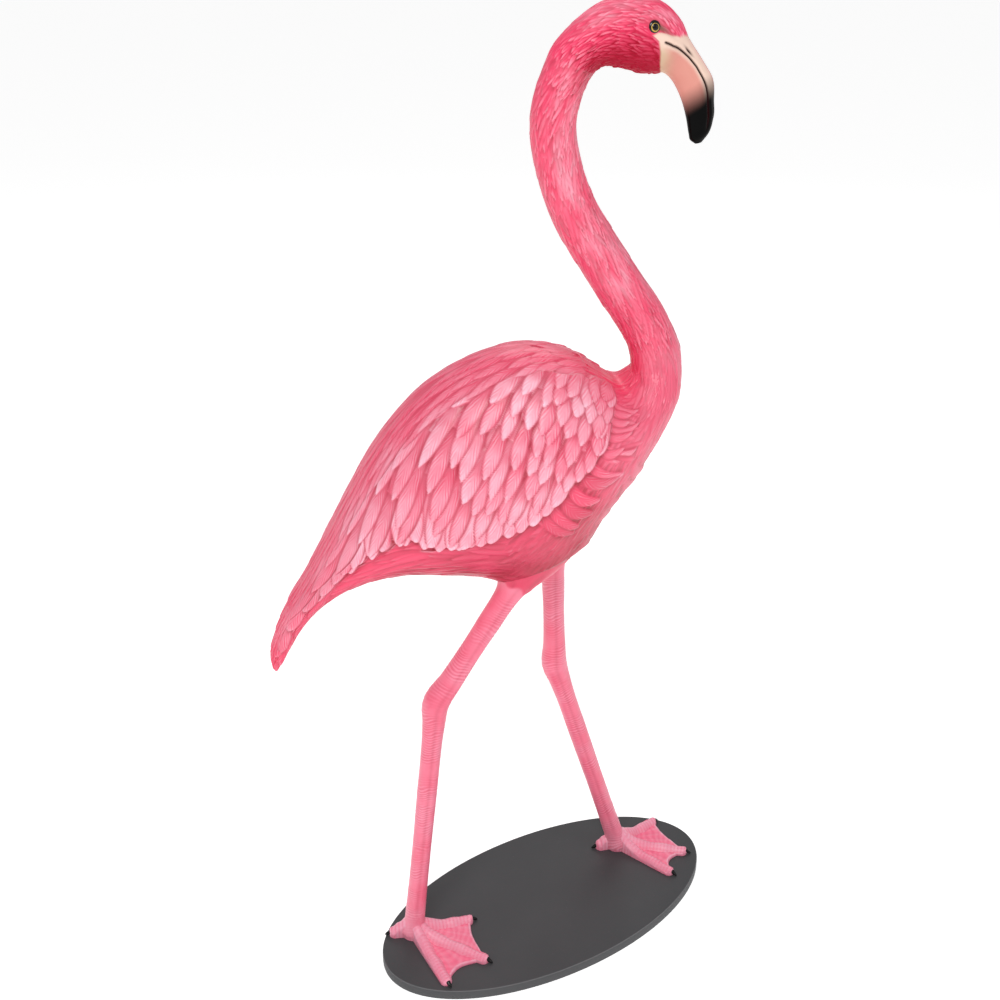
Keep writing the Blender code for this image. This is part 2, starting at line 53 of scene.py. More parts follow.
BOARD_WIDTH = 0.300
BOARD_TURN = 21.0

# Trunk sections from tail tip to neck root: back line x, z, belly line x, z, half width
TRUNK = (
    (-416, 504, -412, 500, 4),
    (-416, 522, -407, 510, 10),
    (-407, 560, -388, 546, 19),
    (-386, 604, -360, 592, 29),
    (-356, 652, -321, 630, 42),
    (-323, 712, -269, 655, 60),
    (-287, 780, -210, 663, 81),
    (-242, 856, -142, 655, 101),
    (-183, 923, -82, 646, 115),
    (-107, 967, -24, 655, 122),
    (-31, 982, 30, 690, 120),
    (29, 967, 78, 744, 109),
    (66, 943, 122, 807, 91),
    (90, 929, 157, 866, 71),
    (106, 939, 177, 912, 52),
)
# Neck, from its root upwards: centre line x, z, radius
NECK = (
    (144, 955, 35),
    (136, 985, 33),
    (121, 1015, 33),
    (91, 1060, 32.5),
    (54, 1117, 31.5),
    (22, 1170, 30.5),
    (2, 1222, 29.3),
    (-7, 1263, 29),
    (-8, 1290, 29),
    (-4, 1314, 29),
)
# Head sections: crown line x, z, throat line x, z, half width
HEAD = (
    (-23, 1347, 35, 1336, 28.5),
    (-9, 1378, 44, 1347, 28.5),
    (15, 1403, 53, 1352, 29.5),
    (47, 1425, 66, 1351, 32),
    (86, 1432, 82, 1347, 34),
    (121, 1427, 102, 1342, 33),
    (148, 1405, 118, 1341, 28),
)
# Bill sections from the face to the tip: ridge line x, z, lower line x, z, half width
BILL = (
    (161, 1383, 129, 1341, 21),
    (182, 1354, 143, 1331, 18.5),
    (197, 1330, 157, 1307, 16),
    (200, 1305, 165, 1284, 13),
    (201, 1283, 170, 1263, 10),
    (196, 1264, 173, 1255, 7.5),
    (188, 1253, 179, 1251, 3),
)
# Mouth: arc length along the sections and degrees down from the back line
MOUTH = ((1320, 88), (1335, 84), (1350, 74), (1361, 68), (1375, 65), (1408, 67), (1440, 66), (1462, 70))
MOUTH_DEPTH = 2.4
# Where the feathers end and the bare face begins: degrees down from the back line and arc length
FACE_EDGE = (
    (0, 1350), (30, 1347), (60, 1338), (71, 1328), (76, 1315), (78, 1310), (85, 1304),
    (90, 1313), (105, 1320), (123, 1327), (158, 1344), (180, 1348),
)
EYE_ARC = 1304
EYE_DEGREES = 72
# Wing: its lower and front edge, as arc length along the trunk and degrees down from the back line
WING_EDGE = (
    (120, 66), (152, 72), (204, 77), (254, 79), (292, 82), (312, 86), (337, 96), (364, 102),
    (440, 102), (495, 98), (520, 94), (545, 86), (581, 78), (598, 73), (612, 64), (627, 54),
    (644, 42), (668, 18),
)
WING_RISE = 7.0
# Real barbs lie closer than the picture can show, so they are drawn 3.6 mm apart
BARB_PITCH = 3.6
WING_TRIES = 12000

RIGHT_LEG = {
    "foot": (-0.765, 0.300), "knob": (-183, -55, 449), "hip": (-8, -38, 725),
    "toes": ((5, 100), (-37, 138), (-71, 126)), "hind": (177, 40),
}
LEFT_LEG = {
    "foot": (0.585, 0.285), "knob": (24, 61, 416), "hip": (9, 40, 735),
    "toes": ((28, 94), (-20, 124), (-49, 118)), "hind": (183, 39),
}
SHANK_SHARES = (0.0, 0.25, 0.6, 0.93)
SHANK_RADII = (16.5, 15.0, 15.4, 17.5)
KNOB_RADIUS = 20.0
THIGH_SHARES = (0.14, 0.45, 0.68, 0.84, 1.0)
THIGH_RADII = (17.6, 17.0, 22.0, 42.0, 50.0)
THIGH_FLATNESS = 0.72
ANKLE_HEIGHT = 24.0
TOE_RADIUS = 13.5
TOE_TIP_RADIUS = 9.5
WEB_THICKNESS = 4.5
WEB_REACH = 0.95
WEB_DIP = 0.14
HEEL_RADIUS = 19.0
INSTEP_RADIUS = 26.0
CLAW_LENGTH = 15.0
CLAW_RADIUS = 3.6
CLAW_BASE = 0.80
CLAW_DROP = 0.62
# Skin of the legs and feet: rings round the shank, scales along the toes, creases across the webs
RING_PITCH = 4.8
TOE_SCALE_PITCH = 6.0
CREASE_PITCH = 9.0
BARE_SHARE = 0.65
ANKLE_FLARE = 0.30
# How far round a thigh the trunk swells towards it, and the thigh towards the trunk
TRUNK_SWELL_REACH = 40.0
THIGH_SWELL_REACH = 26.0
THIGH_SWELL_HEIGHT = 6.5
# Domes of the eye: radius, how proud it stands, how far it is moved up
EYE_DOMES = {"rim": (7.6, 0.9, 0.8), "ring": (5.5, 1.7, 0.0), "pupil": (4.2, 2.4, 0.0)}
EYE_FLATNESS = 0.4
BOARD_RIM_ROUND = 0.0016

# Main colour, pale colour for dry brush and painted highlights, and dark colour for wash and painted shade,
# of each pink finish
BODY_PINKS = ("#f2446b", "#ffc8d9", "#a8142f")
LEG_PINKS = ("#f03a63", "#ffa4bb", "#bb1f42")
FOOT_PINKS = ("#ff5482", "#ffc0d3", "#cf3a62")

# Soft studio light: place, size and power of each lamp
LAMPS = {
    "key": ((-0.9, -2.1, 3.5), 1.3, 62),
    "fill": ((2.6, -1.6, 2.2), 1.6, 8),
    "back": ((0.6, 2.6, 3.0), 1.8, 20),
}
LAMPS_AIM = (0, 0, 0.8)
FLOOR_GLOW = 0.56
SKY_LIGHT = 0.42
# The photograph's camera: place, tilt below level, heading, lens over sensor width
CAMERA_PLACE = (-0.36595526, -1.62212297, 1.65999855)
CAMERA_TILT = 0.48760392
CAMERA_HEADING = math.radians(10.0)
CAMERA_SENSOR = 36.0
CAMERA_FOCUS = 1.32017

# Fineness of the meshes
BODY_PITCH = 1.6
HEAD_PITCH = 1.25
HALF_COLUMNS = 280
NECK_STRIDE = 4
HEAD_STRIDE = 2
REAR_ARC = 300.0
NECK_ARC = 735.0
HEAD_ARC = 1200.0
LEG_ROWS = 660
LEG_COLUMNS = 44
FOOT_RINGS = 58
FOOT_DIRECTIONS = 260
CLAW_ROWS = 14
CLAW_COLUMNS = 16

chance = np.random.default_rng(20)


def ramp(value, low, high):
    """0 below low, 1 above high, smooth between."""
    share = np.clip((np.asarray(value, float) - low) / (high - low), 0.0, 1.0)
    return share * share * (3 - 2 * share)


def bell(value, width):
    """1 at zero, falling off smoothly on both sides."""
    return np.exp(-(value / width) ** 2)


def place(points):
    """Points of the figure's grid in the row frame."""
    return np.asarray(points, float) * STEP + np.array([0.0, SIDE_SHIFT, SOLE_Z])


def smooth_curve(rows, knots, samples):
    """A smooth curve through the rows, one row at each knot."""
    rows = np.asarray(rows, float)
    knots = np.asarray(knots, float)
    gaps = np.diff(knots)[:, None]
    steps = np.diff(rows, axis=0) / gaps
    slopes = np.empty_like(rows)
    slopes[0] = steps[0]
    slopes[-1] = steps[-1]
    slopes[1:-1] = (steps[1:] * gaps[:-1] + steps[:-1] * gaps[1:]) / (gaps[1:] + gaps[:-1])
    cell = np.clip(np.searchsorted(knots, samples, side="right") - 1, 0, len(knots) - 2)
    size = gaps[cell]
    share = ((samples - knots[cell])[:, None]) / size
    start = rows[cell] * (2 * share ** 3 - 3 * share ** 2 + 1)
    end = rows[cell + 1] * (3 * share ** 2 - 2 * share ** 3)
    leave = slopes[cell] * size * (share ** 3 - 2 * share ** 2 + share)
    arrive = slopes[cell + 1] * size * (share ** 3 - share ** 2)
    return start + end + leave + arrive


def neck_sections():
    line = np.array(NECK, float)
    travel = np.gradient(line[:, :2], axis=0)
    travel /= np.linalg.norm(travel, axis=1)[:, None]
    across = np.stack([-travel[:, 1], travel[:, 0]], axis=-1) * line[:, 2:3]
    return np.hstack([line[:, :2] + across, line[:, :2] - across, line[:, 2:3]])


def loft(sections, angle):
    """Rings of points over the sections, at the angles given down from the back line."""
    centres = (sections[:, :2] + sections[:, 2:4]) / 2
    knots = np.concatenate([[0.0], np.cumsum(np.linalg.norm(np.diff(centres, axis=0), axis=1))])
    head_rows = int((knots[-1] - HEAD_ARC) / HEAD_PITCH)
    arc = np.concatenate([np.arange(0.0, HEAD_ARC, BODY_PITCH), np.linspace(HEAD_ARC, knots[-1], head_rows)])
    curve = smooth_curve(sections, knots, arc)
    centre = (curve[:, :2] + curve[:, 2:4]) / 2
    upward = (curve[:, :2] - curve[:, 2:4]) / 2
    x = centre[:, None, 0] + upward[:, None, 0] * np.cos(angle)
    z = centre[:, None, 1] + upward[:, None, 1] * np.cos(angle)
    y = -np.maximum(curve[:, 4], 1.0)[:, None] * np.sin(angle)
    return arc, np.stack([x, y, z], axis=-1)


def spread(field, reach):
    """The field blurred over a few cells, twice along each way of the grid."""
    for axis in (0, 1):
        for _ in range(2):
            pad = [(0, 0), (0, 0)]
            pad[axis] = (reach + 1, reach)
            total = np.cumsum(np.pad(field, pad, mode="edge"), axis=axis)
            width = 2 * reach + 1
            if axis == 0:
                field = (total[width:] - total[:-width]) / width
            else:
                field = (total[:, width:] - total[:, :-width]) / width
    return field


def leaf_width(share, blunt):
    """A feather's half width along its length: narrow root, full middle, blunt or pointed tip."""
    full = 0.5 + 0.12 * blunt
    tip = np.clip(1 - ((share - full) / (1 - full)) ** 2, 0.0, 1.0) ** (0.95 - 0.45 * blunt)
    return np.where(share < full, 0.7 + 0.3 * ramp(share, -0.2, full), tip)


class Coat:
    """The bird's right half as one grid, its feathers laid one over the other from tail to head."""

    def __init__(self, arc, degrees, points):
        self.arc = arc
        self.degrees = degrees
        self.points = points
        along = np.gradient(points, arc, axis=0)
        around = np.gradient(points, degrees, axis=1)
        self.per_arc = np.linalg.norm(along, axis=-1)
        self.per_degree = np.linalg.norm(around, axis=-1)
        normal = np.cross(around, along)
        normal[:, (0, -1), 1] = 0.0
        self.normal = normal / np.linalg.norm(normal, axis=-1)[..., None]
        self.height, self.barb, self.phase, self.edge, self.base = np.zeros((5, *points.shape[:2]))
        self.tint = np.full(points.shape[:2], 0.5)

    def row(self, arc):
        return int(np.clip(np.searchsorted(self.arc, arc), 1, len(self.arc) - 2))

    def degree_size(self, arc):
        return float(self.per_degree[self.row(arc)].mean())

    def lay(self, arc, degrees, turn, length, width, rise, lift, barb=0.3, curl=0.0, blunt=0.5,
            crown=0.4, low=0.25):
        """One feather from its root, measured along the skin: turn goes from tailward towards the
        belly, rise is the level it lies on, lift its own height, low the share of it at the root."""
        row = self.row(arc)
        column = int(np.clip(round(degrees / 180 * HALF_COLUMNS), 0, HALF_COLUMNS))
        per_arc = max(self.per_arc[row, column], 0.3)
        per_degree = max(self.per_degree[row, column], 0.1)
        reach = length + width
        first = self.row(arc - reach / per_arc)
        last = self.row(arc + reach / per_arc) + 1
        wide = reach / per_degree / 180 * HALF_COLUMNS
        left = int(max(column - wide, 0))
        right = int(min(column + wide, HALF_COLUMNS)) + 1
        window = (slice(first, last), slice(left, right))
        turn = math.radians(turn)
        back = (arc - self.arc[first:last])[:, None] * per_arc
        down = (self.degrees[left:right] - degrees)[None, :] * per_degree
        share = (back * math.cos(turn) + down * math.sin(turn)) / length
        aside = (back * math.sin(turn) - down * math.cos(turn)) / (width / 2) - curl * (share - 0.5) ** 2
        half = leaf_width(share, blunt)
        sides = (half - np.abs(aside)) * width / 2
        ends = np.minimum(share, 1 - share) * length
        cover = np.clip(np.minimum(sides, ends) / 1.5 + 0.5, 0.0, 1.0)
        near_edge = np.minimum(np.abs(aside) / np.maximum(half, 0.05), 1.0)
        bulge = 1 - crown * near_edge ** 2 - 0.25 * near_edge ** 8
        level = rise + lift * (low + (1 - low) * share) * bulge
        slant = share * length * 0.30 - np.abs(aside) * width / 2 * 0.95
        run = share * length * 0.10
        wander = 1.8 * np.sin(run + chance.random() * 6) + 1.6 * np.sign(aside)
        shown = 0.7 + 0.4 * np.sin(slant * 0.35 + run + chance.random() * 6)
        fade = ramp(share, 0.0, 0.25) * (1 - ramp(near_edge, 0.70, 0.95))
        fade = fade * ramp(np.abs(aside) * width / 2, 0.4, 2.6)
        # Edge mark: dark lines along the feather's edges, and painted shadow over its root where the feather
        # above overlaps it
        edge = ramp(near_edge, 0.72, 0.98) + 0.7 * (1 - ramp(share, 0.25, 0.6))
        for field, value in (
            (self.height, level),
            (self.tint, chance.random()),
            (self.barb, barb * fade * np.clip(shown, 0, 1)),
            (self.phase, slant / BARB_PITCH + wander / 6.28),
            (self.edge, np.clip(edge, 0, 1)),
            (self.base, rise),
        ):
            field[window] += cover * (value - field[window])


def wing_edge(arc):
    table = np.array(WING_EDGE, float)
    return np.interp(arc, table[:, 0], table[:, 1], left=0.0, right=0.0)


def wing_rise(arc):
    return WING_RISE * (0.35 + 0.65 * ramp(arc, 60, 260))


def feather_turn(arc, degrees):
    """Feathers lie along the back at the ridge and tail, and hang down at the shoulder."""
    hang = 8 + 50 * ramp(arc, 150, 640)
    turn = hang * (0.15 + 0.85 * ramp(degrees, 0, 50 - 24 * ramp(arc, 500, 600)))
    return turn + (54 - turn) * ramp(degrees, 45, 95) * ramp(arc, 170, 330)


def jitter(size):
    return float(chance.uniform(-size, size))


def lay_belly(coat):
    """Flat strokes along the belly, from the tail's root to the thighs."""
    for arc in np.arange(30, 640, 22.0):
        for degrees in np.arange(88, 181, 7.0):
            coat.lay(arc + jitter(12), degrees + jitter(3), -12 + jitter(16), 58 + jitter(16), 15,
                     0.0, 2.3, 0.0, jitter(1.6), 0.2)


def lay_tail(coat):
    """Long feathers that run out to the tail's tip, above a plain strip along its underside."""
    for arc, length in ((96, 80), (122, 88), (150, 96), (182, 104), (216, 108)):
        size = coat.degree_size(arc - 0.6 * length)
        for degrees in np.arange(8 + jitter(6), 84, 15 / size):
            coat.lay(arc + jitter(8), degrees, 3 + 0.08 * degrees + jitter(4), length, 21,
                     1.0, 3.8, 0.30, jitter(0.5), 0.8)


def lay_breast(coat):
    """Fine hair-like strokes on the breast, then the fans and wavy ridges under the wing's edge."""
    for arc in np.arange(470, 790, 8.5):
        for degrees in np.arange(1, 180, 5.5):
            if degrees > 104 or arc > 560:
                turn = 8 + 26 * ramp(720 - arc, 0, 110) * ramp(degrees, 20, 90)
                coat.lay(arc + jitter(6), degrees + jitter(3), turn + jitter(12), 38 + jitter(10),
                         6.5 + jitter(2), 0.0, 1.2 + jitter(0.5), 0.0, jitter(2.4), 0.0, 0.7)
    for step in range(8):
        coat.lay(640 - 17 * step + jitter(4), 112 + 6 * step + jitter(3), 108 + jitter(14),
                 40 - 2 * step + jitter(8), 19, 0.2, 3.4 - 0.32 * step, 0.10, -2.6 + jitter(1.4), 1.0)
    for step in range(7):
        coat.lay(588 - 15.5 * step + jitter(3), 72 + 4.3 * step + jitter(2), 126 - 2 * step + jitter(7),
                 92 + jitter(14), 18 + jitter(3), 0.3, 3.8, 0.30, -5.2 + jitter(1.6), 1.0)
    for arc, degrees in ((646, 46), (637, 53), (628, 60), (619, 67), (611, 73), (602, 79)):
        coat.lay(arc + 16 + jitter(8), degrees + 8 + jitter(3), 140 + jitter(18), 32 + jitter(12), 9,
                 0.2, 1.3, 0.0, 3.0 + jitter(2.6), 0.3, 0.8)
        coat.lay(arc - 3, degrees + jitter(2), 150 + jitter(12), 48 + jitter(14), 15 + jitter(2),
                 0.2, 2.7, 0.12, -2.6 + jitter(2.4), 0.6, 0.9)


def wing_feather(arc):
    """Length and width of the wing's feathers: long behind, short at the shoulder."""
    behind = 1 - ramp(arc, 320, 640)
    return 44 + 66 * behind, 21 + 5 * behind


def feather_tip(coat, arc, degrees, turn, length):
    """Where a feather ends that is rooted at arc and degrees."""
    size = coat.per_degree[coat.row(arc), int(np.clip(degrees / 180 * HALF_COLUMNS, 0, HALF_COLUMNS))]
    turn = math.radians(turn)
    return arc - length * math.cos(turn), degrees + length * math.sin(turn) / size


def wing_plan(coat, spacing):
    """Roots of the wing's feathers, spaced apart by what each leaves uncovered, tips within the wing."""
    kept = []
    for _ in range(WING_TRIES):
        arc = float(chance.uniform(110, 660))
        degrees = float(chance.uniform(4, 98))
        length, width = wing_feather(arc)
        turn = feather_turn(arc, degrees)
        tip_arc, tip_degrees = feather_tip(coat, arc, degrees, turn, length)
        if degrees < 5 + 15 * ramp(arc, 380, 520):
            continue
        if degrees > wing_edge(arc) - 2 or tip_degrees > wing_edge(max(tip_arc, 121.0)) - 2:
            continue
        if kept:
            spots = np.array(kept)
            back = arc - spots[:, 0]
            down = (spots[:, 1] - degrees) * coat.degree_size(arc)
            turn = math.radians(turn)
            along = (back * math.cos(turn) + down * math.sin(turn)) / (spacing * 0.42 * length)
            across = (back * math.sin(turn) - down * math.cos(turn)) / (spacing * 0.62 * width)
            if (along ** 2 + across ** 2).min() < 1:
                continue
        kept.append((arc, degrees))
    return kept


def edge_row(coat):
    """The feathers whose tips make the wing's lower edge, evenly spaced along it from the tail on."""
    tip = 34.0
    while tip < 590:
        length, width = wing_feather(tip + 40)
        length = length - 34 * (1 - ramp(tip, 40, 170))
        turn = 16 + 38 * ramp(tip, 100, 280)
        edge = wing_edge(tip) if tip > 150 else 76.0
        arc = tip + length * math.cos(math.radians(turn))
        degrees = edge
        for _ in range(4):
            degrees += edge - feather_tip(coat, arc, degrees, turn, length)[1]
        yield tip - 500, arc - 6, degrees, turn, length - 6, width * 1.1
        yield tip, arc + width * 0.45, degrees + 1.5, turn, length, width * 1.15
        tip += width * (0.88 + 0.55 * (1 - ramp(tip, 60, 200))) + jitter(2)


def lay_wing(coat):
    """All the large feathers of the wing, laid from tail and edge to shoulder and ridge."""
    for arc, degrees in sorted(wing_plan(coat, 0.9)):
        length, width = wing_feather(arc)
        front = 1 - 0.6 * ramp(arc, 560, 640)
        coat.lay(arc, degrees, feather_turn(arc, degrees), length, width,
                 wing_rise(arc) * front - 1.0, 1.6, 0.3, 0.0, 0.5)
    laid = []
    for tip, arc, degrees, turn, length, width in edge_row(coat):
        laid.append((-1000 + tip, arc, degrees + jitter(1.0), turn + jitter(3), length, width, 1.0))
    for arc, degrees in wing_plan(coat, 1.0):
        length, width = wing_feather(arc)
        turn = feather_turn(arc, degrees) + jitter(5)
        laid.append((arc - 1.2 * degrees, arc, degrees, turn, length * (1 + jitter(0.12)),
                     width * (1 + jitter(0.1)), 0.35))
    for arc in np.arange(566, 668, 15.0):
        degrees = wing_edge(arc) - 3
        laid.append((arc - 1.2 * degrees, arc + jitter(2), degrees + jitter(1), 60 + jitter(5), 40, 20,
                     0.4))
    for _, arc, degrees, turn, length, width, blunt in sorted(laid):
        front = 1 - 0.6 * ramp(arc, 590, 665)
        coat.lay(arc, degrees, turn, length, width, wing_rise(arc) * front,
                 (3.4 + 1.4 * blunt) * front, 0.36, jitter(0.9), blunt, 0.35, 0.3)


def lay_ridge(coat):
    """Long narrow feathers along the back line."""
    for arc in np.arange(112, 640, 24.0):
        for degrees in (19, 13, 7.5, 2.5):
            length = 104 - 56 * ramp(arc, 420, 640)
            turn = 3 + degrees * 0.6 + jitter(3)
            front = 1 - 0.6 * ramp(arc, 560, 640)
            coat.lay(arc + jitter(9), degrees + jitter(1), turn, length, 15,
                     float(wing_rise(arc) - 1.0) * front, 2.4 * front, 0.3, jitter(0.5), 0.2)


def lay_neck(coat):
    """Fine strokes over neck and head, lying back towards the body: long on the lower neck, small
    tufts on the cheeks, flatter on the crown."""
    arc = 760.0
    while arc < 1362:
        high = ramp(arc, 900, 1100)
        head = ramp(arc, 1130, 1200)
        length = 46 - 16 * high - 12 * head
        width = 5.4 - 0.6 * head
        step = width * 0.95 / coat.degree_size(arc)
        for degrees in np.arange(jitter(3) + 3, 179, step):
            crown = head * (1 - ramp(degrees, 35, 75))
            lift = (0.6 + 1.2 * chance.random() ** 2) * (1 + 0.5 * head) * (1 - 0.6 * crown)
            coat.lay(arc + jitter(7), degrees + jitter(3), jitter(15) - 8 * high,
                     length * (1 + jitter(0.4)), width * (1 + jitter(0.3)),
                     0.0, lift, 0.0, jitter(2.2), 0.1, 0.75, 0.35 - 0.25 * head)
        arc += length * 0.30


def face_marks(coat):
    """Bare skin of the face, the bill's colours, mouth line, nostril and eye socket."""
    table = np.array(FACE_EDGE, float)
    edge = np.interp(coat.degrees, table[:, 0], table[:, 1])[None, :]
    arc = coat.arc[:, None]
    degrees = coat.degrees[None, :]
    bare = ramp(arc, edge - 2.0, edge + 2.5)
    table = np.array(MOUTH, float)
    line = np.interp(coat.arc, table[:, 0], table[:, 1])[:, None]
    size = coat.per_degree.mean(axis=1)[:, None]
    away = (degrees - line) * size
    length = ramp(arc, table[0, 0], table[0, 0] + 4) * (1 - ramp(arc, table[-2, 0], table[-1, 0]))
    mouth = bell(away, 1.25) * length
    along = (arc - 1356.5) / 6.0
    around = (degrees - 57 + 0.35 * (arc - 1356.5)) * size / 1.7
    nostril = np.exp(-along ** 2 - around ** 2)
    rim = (0.7 * bell(away - 4.0, 2.2) + 0.4 * bell(away + 4.5, 2.2)) * length
    black = ramp(arc + 4 * bell(away, 6.0) - 3 * ramp(degrees, 110, 180), 1392, 1428)
    smudge = np.exp(-((arc - 1316) / 12.0) ** 2 - ((degrees - 70.5) / 4.6) ** 2)
    brow = np.exp(-((arc - EYE_ARC - 2) / 8.0) ** 2 - ((degrees - EYE_DEGREES + 4) / 8.0) ** 2)
    height = -MOUTH_DEPTH * mouth - 1.8 * nostril + rim
    eye_gap = np.hypot((arc - EYE_ARC), (degrees - EYE_DEGREES) * size)
    marks = {
        "bare": bare,
        "socket": np.exp(-(eye_gap / 10.0) ** 4),
        "lower": ramp(away, 1.0, 7.0) * ramp(arc, 1318, 1340),
        "tan": 0.85 * (1 - ramp(arc, edge - 4, edge + 36)) * ramp(away, 0.0, 14.0),
        "blush": 0.55 * ramp(-away, 7, 22) * ramp(arc, 1340, 1375),
        "black": black,
        "line": np.clip(1.25 * mouth + 1.1 * nostril, 0, 1),
        "smudge": np.clip(0.75 * smudge + 0.8 * brow, 0, 1),
    }
    return height, marks


def bird_coat():
    """The whole right half with all its feathers."""
    sections = np.vstack([TRUNK, neck_sections(), HEAD, BILL])
    degrees = np.linspace(0.0, 180.0, HALF_COLUMNS + 1)
    arc, points = loft(sections, np.radians(degrees))
    coat = Coat(arc, degrees, points)
    on_wing = degrees[None, :] < wing_edge(arc)[:, None]
    rise = wing_rise(arc)[:, None] * (1 - 0.6 * ramp(arc, 590, 665)[:, None])
    coat.height = spread(np.where(on_wing, rise, 0.0), 4)
    coat.base = coat.height.copy()
    lay_belly(coat)
    lay_tail(coat)
    lay_breast(coat)
    lay_wing(coat)
    lay_ridge(coat)
    lay_neck(coat)
    return coat


def thigh_blend(coat, legs):
    """How far the trunk swells out where a thigh grows from it."""
    swell = np.zeros(coat.height.shape)
    reach = TRUNK_SWELL_REACH
    for plan in legs:
        line = leg_line(plan)
        for start, end in zip(line[5:-1], line[6:]):
            path = end[:3] - start[:3]
            offset = coat.points - start[:3]
            share = np.clip((offset @ path) / (path @ path), 0, 1)
            radius = start[3] + (end[3] - start[3]) * share
            away = offset - share[..., None] * path
            away[..., 1] /= THIGH_FLATNESS
            gap = np.linalg.norm(away, axis=-1) - radius
            near = np.clip(1 - np.maximum(gap, 0) / reach, 0, 1) * (gap > -12)
            swell = np.maximum(swell, near ** 2 * reach / 4)
    return swell


def foot_spot(leg):
    """The ankle's place on the board, in the figure's grid."""
    turn = math.radians(BOARD_TURN)
    along = leg["foot"][0] * BOARD_LENGTH / 2
    across = leg["foot"][1] * BOARD_WIDTH / 2
    x = along * math.cos(turn) - across * math.sin(turn)
    y = along * math.sin(turn) + across * math.cos(turn)
    return np.array([x / STEP, (y - SIDE_SHIFT) / STEP, 0.0])


def leg_line(leg):
    """Centre points and radii from ankle to hip."""
    ankle = foot_spot(leg) + np.array([0, 0, ANKLE_HEIGHT * 0.35])
    hip = np.array(leg["hip"], float)
    knob = np.array(leg["knob"], float)
    line = []
    for share, radius in zip(SHANK_SHARES, SHANK_RADII):
        line.append((*(ankle + (knob - ankle) * share), radius))
    line.append((*knob, KNOB_RADIUS))
    for share, radius in zip(THIGH_SHARES, THIGH_RADII):
        line.append((*(knob + (hip - knob) * share), radius))
    return np.array(line)


def linear(text):
    """sRGB hex to a linear colour."""
    values = [int(text[i:i + 2], 16) / 255 for i in (1, 3, 5)]
    return (*[v / 12.92 if v <= 0.04045 else ((v + 0.055) / 1.055) ** 2.4 for v in values], 1.0)


def set_mark(mesh, mark, values):
    """A named number at each point, read by the paint."""
    layer = mesh.attributes.new(mark, "FLOAT", "POINT")
    layer.data.foreach_set("value", np.ascontiguousarray(values, dtype=np.float32))


def hand_over(piece, node_name="flamingo", slot="painted_resin"):
    """The piece rides on the frame in place of its node, which is hidden."""
    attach(piece, "root")
    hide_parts(node_name)


def mesh_piece(name, points, faces, paint, marks, normals=None):
    """A closed mesh of the bird, given in the figure's grid, with its paint and paint marks."""
    mesh = bpy.data.meshes.new(name)
    mesh.from_pydata(place(points).reshape(-1, 3).tolist(), [], faces)
    for mark, values in marks.items():
        set_mark(mesh, mark, values.ravel())
    shape = bmesh.new()
    shape.from_mesh(mesh)
    bmesh.ops.recalc_face_normals(shape, faces=shape.faces)
    shape.to_mesh(mesh)
    shape.free()
    piece = bpy.data.objects.new(name, mesh)
    bpy.context.scene.collection.objects.link(piece)
    mesh.shade_smooth()
    mesh.set_sharp_from_angle(angle=math.radians(75))
    if normals is not None:
        mesh.normals_split_custom_set_from_vertices(normals.reshape(-1, 3).tolist())
    mesh.materials.append(paint)
    hand_over(piece)


def grid_faces(rows, columns, start=0, closed=False):
    """Quads between the points of a grid, closed all round or open."""
    index = np.arange(rows * columns).reshape(rows, columns) + start
    if closed:
        index = np.hstack([index, index[:, :1]])
    quads = np.stack([index[:-1, :-1], index[:-1, 1:], index[1:, 1:], index[1:, :-1]], axis=-1)
    return quads.reshape(-1, 4).tolist()


def end_walls(rows, columns, start=0):
    """One face over the first row of a grid and one over its last."""
    last = start + (rows - 1) * columns
    return [list(range(start, start + columns)), list(range(last, last + columns))]


def tube_faces(rows, columns, start=0):
    """A grid closed all round and at both ends."""
    return grid_faces(rows, columns, start, True) + end_walls(rows, columns, start)


def skin_normals(points):
    """Outward normals of the finished skin, the same on both sides of each join."""
    normal = np.cross(np.gradient(points, axis=1), np.gradient(points, axis=0))
    normal[:, (0, -1), 1] = 0.0
    return normal / np.maximum(np.linalg.norm(normal, axis=-1), 1e-9)[..., None]


def half_piece(name, points, marks, rows, mirrored, paint):
    """One half of the trunk between two rows, closed by a wall in the bird's mid-plane."""
    part = points[rows].copy()
    normals = skin_normals(points)[rows]
    if mirrored:
        part[..., 1] *= -1
        normals[..., 1] *= -1
    count, columns = part.shape[:2]
    faces = grid_faces(count, columns)
    for back in range(0, (count - 1) * columns, columns):
        belly = back + columns - 1
        faces.append([back, back + columns, belly + columns, belly])
    faces += end_walls(count, columns)
    mesh_piece(name, part, faces, paint, {mark: field[rows] for mark, field in marks.items()}, normals)


def round_piece(name, points, marks, rows, stride, paint):
    """Part of neck or head, a closed tube made of the right half and its mirror image."""

    def all_round(field, flip=1):
        right = field[rows][:, ::stride]
        return np.hstack([right, right[:, -2:0:-1] * flip])

    mirror = np.array([1, -1, 1])
    part = all_round(points, mirror)
    values = {mark: all_round(field) for mark, field in marks.items()}
    normals = all_round(skin_normals(points), mirror)
    mesh_piece(name, part, tube_faces(*part.shape[:2]), paint, values, normals)


def fill(made, inputs):
    """Sets each input of a shader node, or links it where it is given another node's output."""
    for key, value in inputs.items():
        if isinstance(value, bpy.types.NodeSocket):
            made.id_data.links.new(value, made.inputs[key])
        else:
            made.inputs[key].default_value = value


def node(tree, kind, settings, inputs, out=0):
    """Adds a shader node with its settings and links, and gives the output that is used."""
    made = tree.nodes.new(kind)
    for key, value in settings.items():
        setattr(made, key, value)
    fill(made, inputs)
    return made.outputs[out]


NOISE = "ShaderNodeTexNoise"
MATH = "ShaderNodeMath"
MIX = "ShaderNodeMix"
TIMES = {"operation": "MULTIPLY"}
PLUS = {"operation": "ADD"}
TIMES_PLUS = {"operation": "MULTIPLY_ADD"}
COLOURS = {"data_type": "RGBA"}


